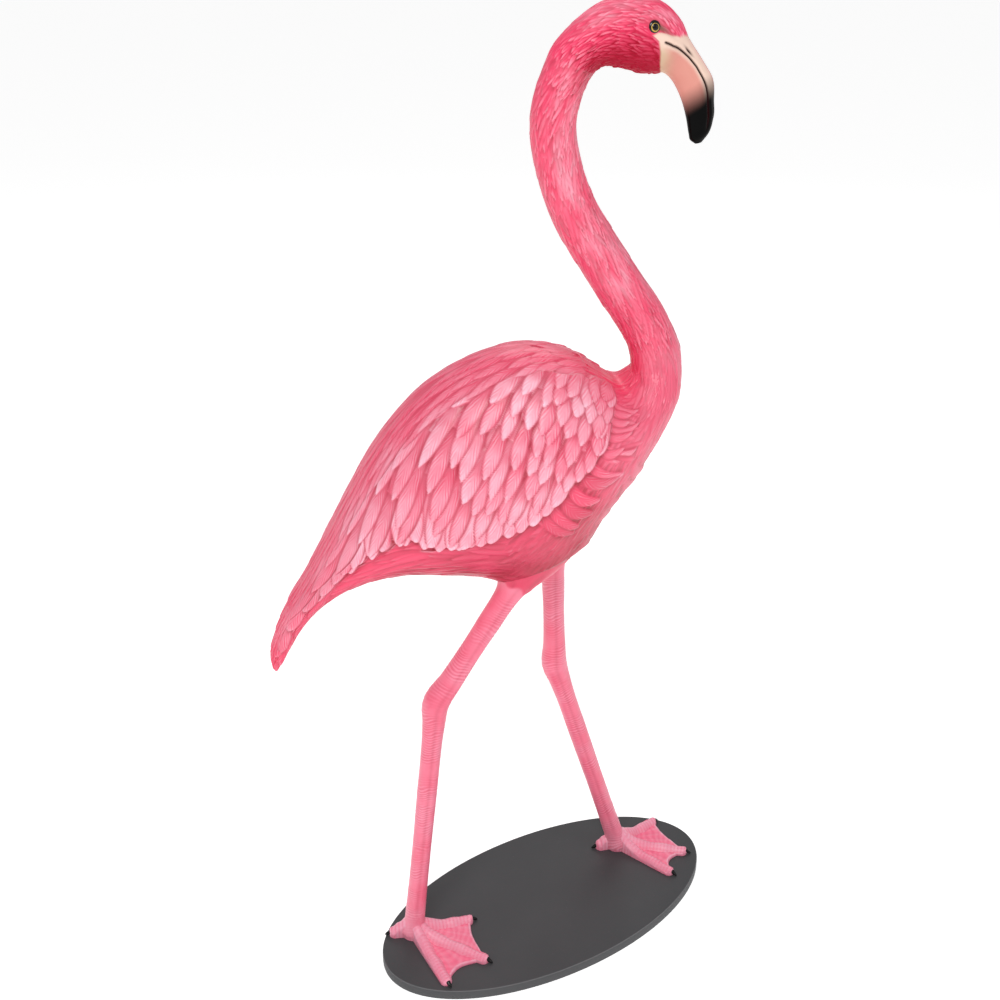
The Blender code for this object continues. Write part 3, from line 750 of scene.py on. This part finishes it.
def new_material(name):
    finish = bpy.data.materials.new(name)
    finish.use_nodes = True
    return finish, finish.node_tree, finish.node_tree.nodes["Principled BSDF"]


def resin_paint(name, main, pale, wash_and_shade, face=False):
    """Cast resin, brushed with pink acrylic: the dark colour is a wash in the hollows together with painted
    shade, the pale colour is dry-brush streaks together with painted highlights on what stands up, and a
    satin lacquer over it gives soft broad highlights."""
    finish, tree, shader = new_material(name)
    where = node(tree, "ShaderNodeTexCoord", {}, {}, "Object")
    noises = {}
    # Clouds of 38 mm, brush hairs of 4 mm, resin grain of 1 mm and barbs led astray over 14 mm
    for what, scale, detail in (("cloud", 26.0, 3.0), ("brush", 260.0, 2.0), ("grain", 900.0, 2.0),
                                ("astray", 70.0, 1.0)):
        noises[what] = node(tree, NOISE, {}, {"Vector": where, "Scale": scale, "Detail": detail})
    marks = ["phase", "comb", "dry_brush_and_highlight", "zone", "wash_and_shade"]
    if face:
        marks += ["lower", "blush", "tan", "black", "line", "bare", "smudge"]
    marks = {mark: node(tree, "ShaderNodeAttribute", {"attribute_name": mark}, {}, "Fac") for mark in marks}

    phase = node(tree, MATH, TIMES_PLUS, {0: noises["astray"], 1: 0.9, 2: marks["phase"]})
    turn = node(tree, MATH, TIMES, {0: phase, 1: 2 * math.pi})
    wave = node(tree, MATH, {"operation": "SINE"}, {0: turn})
    barbs = node(tree, MATH, TIMES, {0: wave, 1: marks["comb"]})

    # Pale paint on raised parts and barbs: dry brush together with painted highlights
    hairs = node(tree, MATH, PLUS, {0: noises["brush"], 1: 0.45})
    hairs = node(tree, MATH, TIMES, {0: marks["dry_brush_and_highlight"], 1: hairs})
    dabs = node(tree, MATH, TIMES, {0: noises["brush"], 1: 1.1})
    streaks = node(tree, MATH, TIMES_PLUS, {0: barbs, 1: dabs, 2: hairs})
    patchy = node(tree, MATH, PLUS, {0: noises["cloud"], 1: 0.05})
    dry = node(tree, MATH, {**TIMES_PLUS, "use_clamp": True}, {0: marks["zone"], 1: patchy, 2: streaks})
    colour = node(tree, MIX, COLOURS, {0: dry, 6: linear(main), 7: linear(pale)}, 2)
    # Dark paint: a wash in the hollows together with painted shade in creases, below steps and on the
    # underside
    colour = node(tree, MIX, COLOURS, {0: marks["wash_and_shade"], 6: colour, 7: linear(wash_and_shade)}, 2)
    rough = node(tree, MATH, TIMES_PLUS, {0: noises["brush"], 1: 0.20, 2: 0.30})
    if face:
        haze = node(tree, MATH, TIMES, {0: noises["cloud"], 1: 0.12})
        black = node(tree, MATH, {"operation": "POWER"}, {0: marks["black"], 1: 0.7})
        skin = linear("#efcfbe")
        for share, tone in ((marks["lower"], "#d98f82"), (marks["blush"], "#f08f9a"),
                            (marks["tan"], "#c9ad88"), (haze, "#fff0e4"), (black, "#010101"),
                            (marks["line"], "#2a0b0e")):
            skin = node(tree, MIX, COLOURS, {0: share, 6: skin, 7: linear(tone)}, 2)
        colour = node(tree, MIX, COLOURS, {0: marks["bare"], 6: colour, 7: skin}, 2)
        colour = node(tree, MIX, COLOURS, {0: marks["smudge"], 6: colour, 7: linear("#8a5a52")}, 2)
        rough = node(tree, MATH, TIMES_PLUS, {0: marks["bare"], 1: -0.20, 2: rough})
        fill(shader, {"Specular IOR Level": 0.10})
    relief = node(tree, MATH, TIMES, {0: noises["grain"], 1: 0.25})
    relief = node(tree, MATH, TIMES_PLUS, {0: noises["brush"], 1: 0.6, 2: relief})
    relief = node(tree, MATH, TIMES_PLUS, {0: barbs, 1: 1.6, 2: relief})
    bump = node(tree, "ShaderNodeBump", {}, {"Strength": 0.30, "Distance": 0.0005, "Height": relief})
    fill(shader, {"Base Color": colour, "Roughness": rough, "Normal": bump, "IOR": 1.33 if face else 1.45,
                  "Coat Weight": 0.04 if face else 0.15, "Coat Roughness": 0.3})
    return finish


def gloss_paint(name, text, roughness):
    """Clear varnish over a hand-painted spot: a small hard highlight on a slightly brushed colour."""
    finish, tree, shader = new_material(name)
    where = node(tree, "ShaderNodeTexCoord", {}, {}, "Object")
    # Brush marks of 1.4 mm
    brush = node(tree, NOISE, {}, {"Vector": where, "Scale": 700.0, "Detail": 1.0})
    thin = node(tree, MATH, TIMES, {0: brush, 1: 0.12})
    colour = node(tree, MIX, COLOURS, {0: thin, 6: linear(text), 7: linear("#3a3436")}, 2)
    fill(shader, {"Base Color": colour, "Roughness": roughness, "IOR": 1.35,
                  "Coat Weight": 0.25, "Coat Roughness": 0.05})
    return finish


def board_paint():
    """Matt grey paint rolled on board: fine stipple, a few dust specks and a painted highlight along the
    upper rim.
    """
    finish, tree, shader = new_material("matt_paint_rolled_on_board")
    where = node(tree, "ShaderNodeTexCoord", {}, {}, "Object")
    # Roller stipple of 2.4 mm, clouds of 110 mm, one speck in 10 mm
    stipple = node(tree, NOISE, {}, {"Vector": where, "Scale": 420.0, "Detail": 3.0})
    cloud = node(tree, NOISE, {}, {"Vector": where, "Scale": 9.0, "Detail": 2.0})
    dust = node(tree, "ShaderNodeTexVoronoi", {}, {"Vector": where, "Scale": 95.0}, "Distance")
    speck = node(tree, MATH, {"operation": "LESS_THAN"}, {0: dust, 1: 0.045})
    speck = node(tree, MATH, TIMES, {0: speck, 1: 0.30})
    dots = node(tree, MATH, TIMES, {0: stipple, 1: 0.35})
    # Painted highlight: the rounded upper rim is lighter grey
    rim = node(tree, "ShaderNodeAttribute", {"attribute_name": "rim"}, {}, "Fac")
    colour = linear("#3f4042")
    for share, tone in ((cloud, "#4b4c4e"), (dots, "#3a3a3c"), (speck, "#7c7c7e"), (rim, "#6d6d6f")):
        colour = node(tree, MIX, COLOURS, {0: share, 6: colour, 7: linear(tone)}, 2)
    bump = node(tree, "ShaderNodeBump", {}, {"Strength": 0.3, "Distance": 0.0004, "Height": stipple})
    fill(shader, {"Base Color": colour, "Roughness": 0.62, "Normal": bump})
    return finish


def even_noise(shape, reach, margin):
    """Soft noise over a tube's skin that meets itself all round, with a standard deviation of 1."""
    noise = np.pad(chance.normal(size=shape), ((0, 0), (margin, margin)), mode="wrap")
    noise = spread(noise, reach)[:, margin:-margin]
    return noise / noise.std()


def leg(name, plan, body_tree, paint):
    """Shank, knob and thigh: skin wrinkled across on the shank, smooth on the thigh."""
    line = leg_line(plan)
    knots = np.concatenate([[0.0], np.cumsum(np.linalg.norm(np.diff(line[:, :3], axis=0), axis=1))])
    rows, columns = LEG_ROWS, LEG_COLUMNS
    samples = np.linspace(0, knots[-1], rows)
    curve = smooth_curve(line, knots, samples)
    travel = np.gradient(curve[:, :3], axis=0)
    travel /= np.linalg.norm(travel, axis=1)[:, None]
    fore = np.cross(travel, [0.0, 1.0, 0.0])
    fore /= np.linalg.norm(fore, axis=1)[:, None]
    side = np.cross(travel, fore)
    angle = np.linspace(0, 2 * np.pi, columns, endpoint=False)
    flat = 1 - (1 - THIGH_FLATNESS) * ramp(curve[:, 3], KNOB_RADIUS, THIGH_RADII[-1])
    ring = fore[:, None] * np.cos(angle)[None, :, None]
    ring = ring + (side * flat[:, None])[:, None] * np.sin(angle)[None, :, None]
    along = samples[:, None] * np.ones((1, columns))
    around = angle[None, :] * np.ones((rows, 1))
    bare_end = knots[5] + BARE_SHARE * (knots[-1] - knots[5]) + 4 * np.sin(around * 5)
    bare = 1 - ramp(along, bare_end - 5, bare_end + 3)
    wave = 1.6 * np.sin(around * 2 + 0.9) + 1.1 * np.sin(around * 3 + along * 0.045)
    warp = even_noise((rows, columns), 4, 12)
    ridge = np.sin((along + wave) * 2 * np.pi / RING_PITCH + 1.7 * warp)
    scale = np.sign(ridge) * np.abs(ridge) ** 0.7
    knob = bell(along - knots[4], 26.0)
    cracks = np.sin(around * 7 + np.sin(along * 0.5) * 1.5)
    strong = ramp(even_noise((rows, columns), 7, 20), -1.3, 1.0)
    stroke = np.sin(around * 9 + along * 0.05 + 1.5 * np.sin(along * 0.06 + around * 2))
    stroke = stroke * (0.5 + 0.5 * np.sin(along * 0.09 + around * 4))
    height = bare * (0.26 * scale * strong + 0.25 * knob * cracks) + (1 - bare) * 0.55 * stroke
    groove = bell(np.sin((around - math.pi * 0.5) / 2) * 2 * 15, 3.0)
    height = height - 1.2 * groove * bare * (1 - knob) * ramp(along, 20, 60)
    height = height + bell(along - bare_end, 5.0)
    flare = 1 + ANKLE_FLARE * (1 - ramp(samples, 0, 34))[:, None, None] ** 2
    rings = curve[:, None, :3] + curve[:, None, 3:4] * ring * flare
    away = ring / np.linalg.norm(ring, axis=-1)[..., None]
    swell = np.zeros(height.shape)
    for i in range(int(np.searchsorted(samples, knots[6])), rows):
        for j in range(columns):
            spot, normal, _, gap = body_tree.find_nearest(rings[i, j])
            inside = (Vector(rings[i, j]) - spot).dot(normal) < 0
            if not inside and gap < THIGH_SWELL_REACH:
                swell[i, j] = (1 - gap / THIGH_SWELL_REACH) ** 2 * THIGH_SWELL_HEIGHT
    rings = rings + away * (height + swell)[..., None]
    # Paint marks: paler on the raised rings and towards the ankle, dry brush and painted highlight; darker
    # in the ring hollows and the groove down the back, wash and painted shade; the feathered thigh darker
    # all over
    hollow = np.clip(0.5 - 0.5 * scale, 0, 1) * bare
    dry_brush_and_highlight = 0.28 * np.clip(scale, 0, 1) * strong * bare + 0.05 + 0.25 * (1 - ramp(along, 10, 90))
    wash_and_shade = 0.20 * hollow * strong + 0.25 * groove * bare * ramp(along, 20, 60)
    wash_and_shade = wash_and_shade + (1 - bare) * (0.30 + 0.3 * np.clip(-stroke, 0, 1))
    marks = {"dry_brush_and_highlight": np.clip(dry_brush_and_highlight, 0, 1), "zone": 0.70 * bare, "wash_and_shade": np.clip(wash_and_shade, 0, 1)}
    mesh_piece(name, rings, tube_faces(rows, columns), paint, marks)


def foot_reach(plan, degrees):
    """How far the foot's outline lies from the ankle, in each direction."""
    reach = np.full(degrees.shape, HEEL_RADIUS)
    toes = plan["toes"]
    for (first, first_length), (second, second_length) in zip(toes[:-1], toes[1:]):
        share = (first - degrees) / (first - second)
        web = (first_length + (second_length - first_length) * share) * WEB_REACH
        web = web * (1 - WEB_DIP * np.sin(np.pi * np.clip(share, 0, 1)))
        reach = np.where((share >= 0) & (share <= 1), np.maximum(reach, web), reach)
    for direction, length in (*toes, plan["hind"]):
        apart = np.radians((degrees - direction + 180) % 360 - 180)
        end = length - TOE_TIP_RADIUS
        off = end * np.abs(np.sin(apart))
        cap = end * np.cos(apart) + np.sqrt(np.maximum(TOE_TIP_RADIUS ** 2 - off ** 2, 0))
        shaft = TOE_TIP_RADIUS / np.maximum(np.abs(np.sin(apart)), 1e-3)
        toe = np.where(off < TOE_TIP_RADIUS, cap, shaft)
        reach = np.where(np.abs(apart) < np.pi / 2, np.maximum(reach, toe), reach)
    return reach


def foot(name, plan, paint):
    """Webbed foot: toes with scales across, creased webs with raised rims, on a flat sole."""
    toes = (*plan["toes"], plan["hind"])
    directions = [np.linspace(-180, 180, FOOT_DIRECTIONS, endpoint=False)]
    for direction, length in toes:
        lean = math.degrees(math.asin(TOE_TIP_RADIUS / (length - TOE_TIP_RADIUS)))
        directions.append(direction + np.linspace(-lean * 1.2, lean * 1.2, 31))
    degrees = np.unique(np.round((np.concatenate(directions) + 180) % 360 - 180, 3))
    reach = foot_reach(plan, degrees)
    share = (np.arange(1, FOOT_RINGS + 1) / FOOT_RINGS)[:, None] ** 0.9
    far = reach[None, :] * share
    flat = np.stack([np.cos(np.radians(degrees)) * far, np.sin(np.radians(degrees)) * far], axis=-1)
    height = np.full(far.shape, WEB_THICKNESS)
    on_toe = np.zeros(far.shape)
    run_all = np.zeros(far.shape)
    for direction, length in toes:
        axis = np.array([math.cos(math.radians(direction)), math.sin(math.radians(direction))])
        run = flat @ axis
        off = np.abs(flat @ np.array([-axis[1], axis[0]]))
        joints = 1 + 0.07 * np.cos(run / length * 2 * np.pi * 3.0)
        thick = (TOE_RADIUS + (TOE_TIP_RADIUS - TOE_RADIUS) * np.clip(run / length, 0, 1)) * joints
        top = 1.05 * thick * np.clip(1 - (off / thick) ** 2, 0, 1) ** 0.75 + 1.0
        top = top + 3.0 * bell(off - thick, 7.0) * (off > thick)
        use = (run > 0) & (top > height)
        height = np.where(use, top, height)
        on_toe = np.where(use & (off < thick), 1.0, on_toe)
        run_all = np.where(use, run, run_all)
    scale = np.abs(np.sin(run_all * np.pi / TOE_SCALE_PITCH)) ** 0.6
    height = height + on_toe * 0.45 * (scale - 0.5) * ramp(far, 15, 30)
    web = 1 - on_toe
    crease = np.sin(far * 2 * np.pi / CREASE_PITCH + 2.6 * even_noise(far.shape, 6, 20))
    fold = np.sin(np.radians(degrees)[None, :] * 34 + far * 0.06) * ramp(far, 25, 60)
    height = height + web * ramp(far, 20, 40) * (0.20 * crease + 0.32 * fold)
    height = height + ANKLE_HEIGHT * bell(far, INSTEP_RADIUS)
    gap = reach[None, :] - far
    rim = bell(gap - 2.5, 2.2)
    height = height + web * 1.3 * rim
    round_edge = np.sqrt(np.clip(1 - (1 - np.clip(gap / 3.0, 0, 1)) ** 2, 0, 1))
    height = height * (0.35 + 0.65 * round_edge)
    top = np.dstack([flat + foot_spot(plan)[:2], height])
    points = np.vstack([top, top[-1:] * np.array([1, 1, 0])])
    # Paint marks: paler on raised scales, creases and the web's raised rim, dry brush and painted highlight;
    # darker in the scale and crease hollows, wash and painted shade
    hollow = np.clip(on_toe * (1 - scale), 0, 1)
    dry_brush_and_highlight = web * (0.10 * np.clip(crease, 0, 1) + 0.12 * np.clip(fold, 0, 1) + 0.6 * rim)
    dry_brush_and_highlight = np.clip(on_toe * scale * 0.35 + dry_brush_and_highlight, 0, 1)
    wash_and_shade = np.clip(0.16 * hollow + web * (0.14 * np.clip(-crease, 0, 1) + 0.04), 0, 1)
    zone = 0.62 - 0.22 * web + 0.1 * ramp(-far, -60, -20)
    marks = {
        "dry_brush_and_highlight": np.vstack([dry_brush_and_highlight, dry_brush_and_highlight[-1:]]),
        "zone": np.vstack([zone, np.full_like(zone[:1], 0.5)]),
        "wash_and_shade": np.vstack([wash_and_shade, wash_and_shade[-1:]]),
    }
    mesh_piece(name, points, tube_faces(*points.shape[:2]), paint, marks)


def claws(name, plan, paint):
    """The black nails of one foot, small bent cones over the toes' ends."""
    points = []
    faces = []
    spot = foot_spot(plan)
    for direction, length in (*plan["toes"], plan["hind"]):
        heading = np.array([math.cos(math.radians(direction)), math.sin(math.radians(direction)), 0.0])
        aside = np.array([-heading[1], heading[0], 0.0])
        start = len(points)
        for share in np.linspace(0, 1, CLAW_ROWS):
            radius = CLAW_RADIUS * math.sqrt(max(1 - share ** 3, 0.02)) * min(1.0, 0.55 + 3 * share)
            height = TOE_TIP_RADIUS * (CLAW_BASE - CLAW_DROP * share ** 1.5)
            centre = spot + heading * (length + CLAW_LENGTH * (share - 0.5)) + np.array([0, 0, height])
            for corner in range(CLAW_COLUMNS):
                turn = 2 * math.pi * corner / CLAW_COLUMNS
                up = np.array([0, 0, radius * math.sin(turn)])
                points.append(centre + aside * radius * math.cos(turn) + up)
        faces += tube_faces(CLAW_ROWS, CLAW_COLUMNS, start)
    mesh_piece(name, points, faces, paint, {})


def deselect():
    for thing in bpy.context.selected_objects:
        thing.select_set(False)


def settle(piece, name, paint, *frame_names):
    """Puts the object's place into its mesh and hands it to the frame."""
    deselect()
    piece.select_set(True)
    bpy.context.view_layer.objects.active = piece
    bpy.ops.object.transform_apply(location=True, rotation=True, scale=True)
    piece.name = name
    piece.data.name = name
    piece.data.materials.clear()
    piece.data.materials.append(paint)
    hand_over(piece, *frame_names)


def eye(name, side, spot, normal, paints):
    """Black rim, thin yellow ring and black pupil, each a shallow dome over the one below."""
    outward = Vector((normal[0], normal[1] * -side, normal[2]))
    for part, (radius, proud, above) in EYE_DOMES.items():
        deselect()
        centre = spot + normal * (proud + 1.2 - radius * EYE_FLATNESS) + np.array([0, 0, above])
        centre = place(centre * np.array([1, -side, 1]))
        bpy.ops.mesh.primitive_uv_sphere_add(segments=48, ring_count=28, radius=radius * STEP,
                                             location=centre)
        ball = bpy.context.object
        ball.scale = (1.0, 1.0, EYE_FLATNESS)
        ball.rotation_euler = outward.to_track_quat("Z", "Y").to_euler()
        bpy.ops.object.shade_smooth()
        settle(ball, name + "_" + part, paints[part])


def board(paint):
    """Oval board with rounded rims."""
    deselect()
    bpy.ops.mesh.primitive_cylinder_add(vertices=256, radius=1.0, depth=BOARD_TOP,
                                        location=(0, 0, BOARD_TOP / 2))
    oval = bpy.context.object
    oval.scale = (BOARD_LENGTH / 2, BOARD_WIDTH / 2, 1.0)
    oval.rotation_euler = (0, 0, math.radians(BOARD_TURN))
    bpy.ops.object.transform_apply(location=True, rotation=True, scale=True)
    soften = oval.modifiers.new("rims", "BEVEL")
    soften.width = BOARD_RIM_ROUND
    soften.segments = 3
    soften.limit_method = "ANGLE"
    soften.angle_limit = math.radians(40)
    bpy.ops.object.modifier_apply(modifier="rims")
    bpy.ops.object.shade_smooth_by_angle(angle=math.radians(30))
    below = BOARD_TOP - np.array([corner.co.z for corner in oval.data.vertices])
    # Marks the rounding of the upper rim for its painted highlight
    set_mark(oval.data, "rim", np.where((below < 0.0013) & (below > 1e-5), 0.8, 0.0))
    settle(oval, "painted_base_board", paint, "base_board", "painted_board")


def surface_marks(coat, relief):
    """Where the wash and painted shade lie dark, where the dry brush and painted highlights lie pale, and
    which regions are pale.
    """
    raised = relief - coat.base
    fine = raised - spread(raised, 2)
    broad = raised - spread(raised, 6)
    step = relief - spread(relief, 5)
    arc = coat.arc[:, None]
    degrees = coat.degrees[None, :]
    wing = ramp(spread(coat.base, 1), 0.6, 2.2)
    wing = wing * (0.55 * ramp(arc, 15, 80) + 0.45 * ramp(arc, 150, 300))
    neck_part = ramp(arc, 740, 800)
    # Dark wash in the fine and broad hollows, together with painted shade there
    wash_and_shade = np.clip(-fine * (0.50 + 0.65 * neck_part), 0, 0.6) + np.clip(-broad * 0.16, 0, 0.4)
    # Painted shadow below steps in the relief, strongest under the wing's lower edge
    wash_and_shade = wash_and_shade + np.clip(-step * 0.12, 0, 0.4)
    # Pale dry brush together with painted highlights on what stands up
    dry_brush_and_highlight = np.clip(fine * (0.5 + 0.9 * neck_part), 0, 0.35) + np.clip(broad * 0.05, 0, 0.15)
    ridge = ramp(degrees, 8, 36)
    breast = 0.34 * ramp(arc, 560, 640) * (1 - ramp(arc, 760, 860)) * ramp(degrees, 20, 60)
    side = ramp(degrees, 35, 95)
    patchy = spread(chance.normal(size=relief.shape), 9)
    patchy = np.clip(0.8 + 0.45 * patchy / patchy.std(), 0, 1.6)
    neck = 0.40 * ramp(arc, 800, 900) * (0.20 + 0.80 * side) * (1 - ramp(arc, 1190, 1240))
    neck = neck + 0.50 * ramp(arc, 1200, 1250) * (1 - ramp(degrees, 40, 80))
    on_neck = ramp(arc, 640, 740)
    zone = 0.92 * wing * ridge + 0.26 * wing * (1 - ridge) + breast * (1 - wing)
    # Less pale at the wing feathers' edges and roots, where the edge mark carries painted shadow
    zone = zone * (0.62 + 0.5 * coat.tint) * (1 - 0.55 * coat.edge * wing)
    zone = zone + neck * patchy * (0.55 + 0.9 * coat.tint)
    # Painted shade on the belly and on the underside of the head and upper neck at the throat
    under = ramp(degrees, 100, 140) * ramp(arc, 60, 160) * (1 - ramp(arc, 560, 700))
    throat = ramp(arc, 1150, 1230) * ramp(degrees, 62, 140)
    wash_and_shade = wash_and_shade * (1 - 0.35 * wing * (1 - ridge)) * (1 + 0.4 * on_neck)
    flecks = ramp(coat.tint, 0.66, 1.0) * (1 - wing) * (0.24 + 0.10 * neck_part)
    # Adds random dark flecks, painted shadow along wing feather edges and roots, and painted shade on the
    # belly and throat
    wash_and_shade = wash_and_shade + flecks + 0.20 * coat.edge * wing + 0.75 * under * (0.6 + 0.4 * patchy) + 0.95 * throat
    # Less dry brush and painted highlight where the belly and throat carry painted shade
    strength = 0.45 + 0.45 * wing * ridge + 0.20 * ramp(arc, 560, 640) + 0.1 * neck_part
    strength = strength * (1 - 0.6 * under) * (1 - 0.7 * throat)
    return {
        "wash_and_shade": np.clip(wash_and_shade, 0, 1),
        "dry_brush_and_highlight": np.clip(dry_brush_and_highlight * strength, 0, 1),
        "zone": np.clip(zone, 0, 1),
        "phase": coat.phase,
        "comb": coat.barb,
    }


def even_ring(ring, coarse, fine):
    """Moves the points between a coarser ring's points onto its straight edges."""
    for j in range(0, HALF_COLUMNS, coarse):
        for k in range(fine, coarse, fine):
            ring[j + k] = ring[j] + (ring[j + coarse] - ring[j]) * k / coarse


def skin_tree(coat):
    """The bare trunk, neck and head as a coarse skin to measure the thighs' distance from."""
    coarse = coat.points[::8, ::10]
    count, columns = coarse.shape[:2]
    skin = np.vstack([coarse.reshape(-1, 3), (coarse * np.array([1, -1, 1])).reshape(-1, 3)]).tolist()
    quads = grid_faces(count, columns)
    quads += [[corner + count * columns for corner in reversed(quad)] for quad in quads]
    tree = BVHTree.FromPolygons(skin, quads)
    normal = tree.find_nearest((0, -200, 800))[1]
    if normal.y > 0:
        tree = BVHTree.FromPolygons(skin, [quad[::-1] for quad in quads])
    return tree


def bird():
    """Trunk, neck and head; gives their skin for the thighs and the eye's place and normal."""
    coat = bird_coat()
    face_height, face = face_marks(coat)
    relief = spread(coat.height, 1) * 0.5 + coat.height * 0.5
    relief = relief * (1 - face["bare"]) * (1 - face.pop("socket")) * ramp(coat.arc, -25, 30)[:, None]
    marks = surface_marks(coat, relief)
    lift = relief + face_height + thigh_blend(coat, (RIGHT_LEG,))
    points = coat.points + coat.normal * lift[..., None]
    points[:, (0, -1), 1] = 0.0
    split, neck, head = coat.row(REAR_ARC), coat.row(NECK_ARC), coat.row(HEAD_ARC)
    even_ring(points[neck], NECK_STRIDE, 1)
    even_ring(points[head], NECK_STRIDE, HEAD_STRIDE)
    paint = resin_paint("pink_acrylic_on_resin_cast", *BODY_PINKS)
    face_paint = resin_paint("pink_and_cream_enamel_on_head", *BODY_PINKS, face=True)
    for side, mirrored in (("right", False), ("left", True)):
        half_piece("tail_and_wing_" + side, points, marks, slice(0, split + 1), mirrored, paint)
        half_piece("breast_and_wing_" + side, points, marks, slice(split, neck + 1), mirrored, paint)
    round_piece("neck", points, marks, slice(neck, head + 1), NECK_STRIDE, paint)
    round_piece("head_and_bill", points, {**marks, **face}, slice(head, None), HEAD_STRIDE, face_paint)
    place_of_eye = coat.row(EYE_ARC), round(EYE_DEGREES / 180 * HALF_COLUMNS)
    return skin_tree(coat), (coat.points[place_of_eye], coat.normal[place_of_eye])


def studio():
    """Plain white floor and soft studio light; the camera stands where the photograph's did."""
    scene = bpy.context.scene
    bpy.ops.mesh.primitive_plane_add(size=30, location=(0, 0, 0))
    floor = bpy.context.object
    floor.name = "studio_floor"
    finish, _, shader = new_material("white_paper_sweep")
    fill(shader, {"Base Color": linear("#f8f8f8"), "Roughness": 0.9, "Emission Color": linear("#ffffff"),
                  "Emission Strength": FLOOR_GLOW})
    floor.data.materials.append(finish)
    scene.world = bpy.data.worlds.new("studio")
    scene.world.use_nodes = True
    fill(scene.world.node_tree.nodes["Background"], {0: linear("#ffffff"), 1: SKY_LIGHT})
    for name, (spot, size, power) in LAMPS.items():
        light = bpy.data.lights.new(name, "AREA")
        light.size = size
        light.energy = power
        lamp = bpy.data.objects.new(name, light)
        scene.collection.objects.link(lamp)
        lamp.location = spot
        lamp.rotation_euler = (Vector(LAMPS_AIM) - Vector(spot)).to_track_quat("-Z", "Y").to_euler()
    lens = bpy.data.cameras.new("camera")
    lens.sensor_width = CAMERA_SENSOR
    lens.lens = CAMERA_SENSOR * CAMERA_FOCUS
    stand = bpy.data.objects.new("camera", lens)
    scene.collection.objects.link(stand)
    stand.location = CAMERA_PLACE
    stand.rotation_euler = (math.pi / 2 - CAMERA_TILT, 0.0, -CAMERA_HEADING)
    scene.camera = stand
    scene.view_settings.view_transform = "Standard"


studio()
body_tree, eye_spot = bird()
leg_paint = resin_paint("pale_pink_acrylic_on_legs", *LEG_PINKS)
foot_paint = resin_paint("pale_pink_acrylic_on_feet", *FOOT_PINKS)
nail_paint = gloss_paint("black_varnish_on_claws", "#060506", 0.2)
eye_paints = {
    "rim": gloss_paint("black_varnish_round_eye", "#0a080a", 0.25),
    "ring": gloss_paint("yellow_varnish_ring", "#d0ac4a", 0.25),
    "pupil": gloss_paint("black_varnish_pupil", "#050405", 0.08),
}
both_legs = (("right", RIGHT_LEG), ("left", LEFT_LEG))
for side, plan in both_legs:
    leg(side + "_leg", plan, body_tree, leg_paint)
for side, plan in both_legs:
    foot(side + "_foot", plan, foot_paint)
for side, plan in both_legs:
    claws(side + "_claws", plan, nail_paint)
eye("right_eye", -1, *eye_spot, eye_paints)
eye("left_eye", 1, *eye_spot, eye_paints)
board(board_paint())
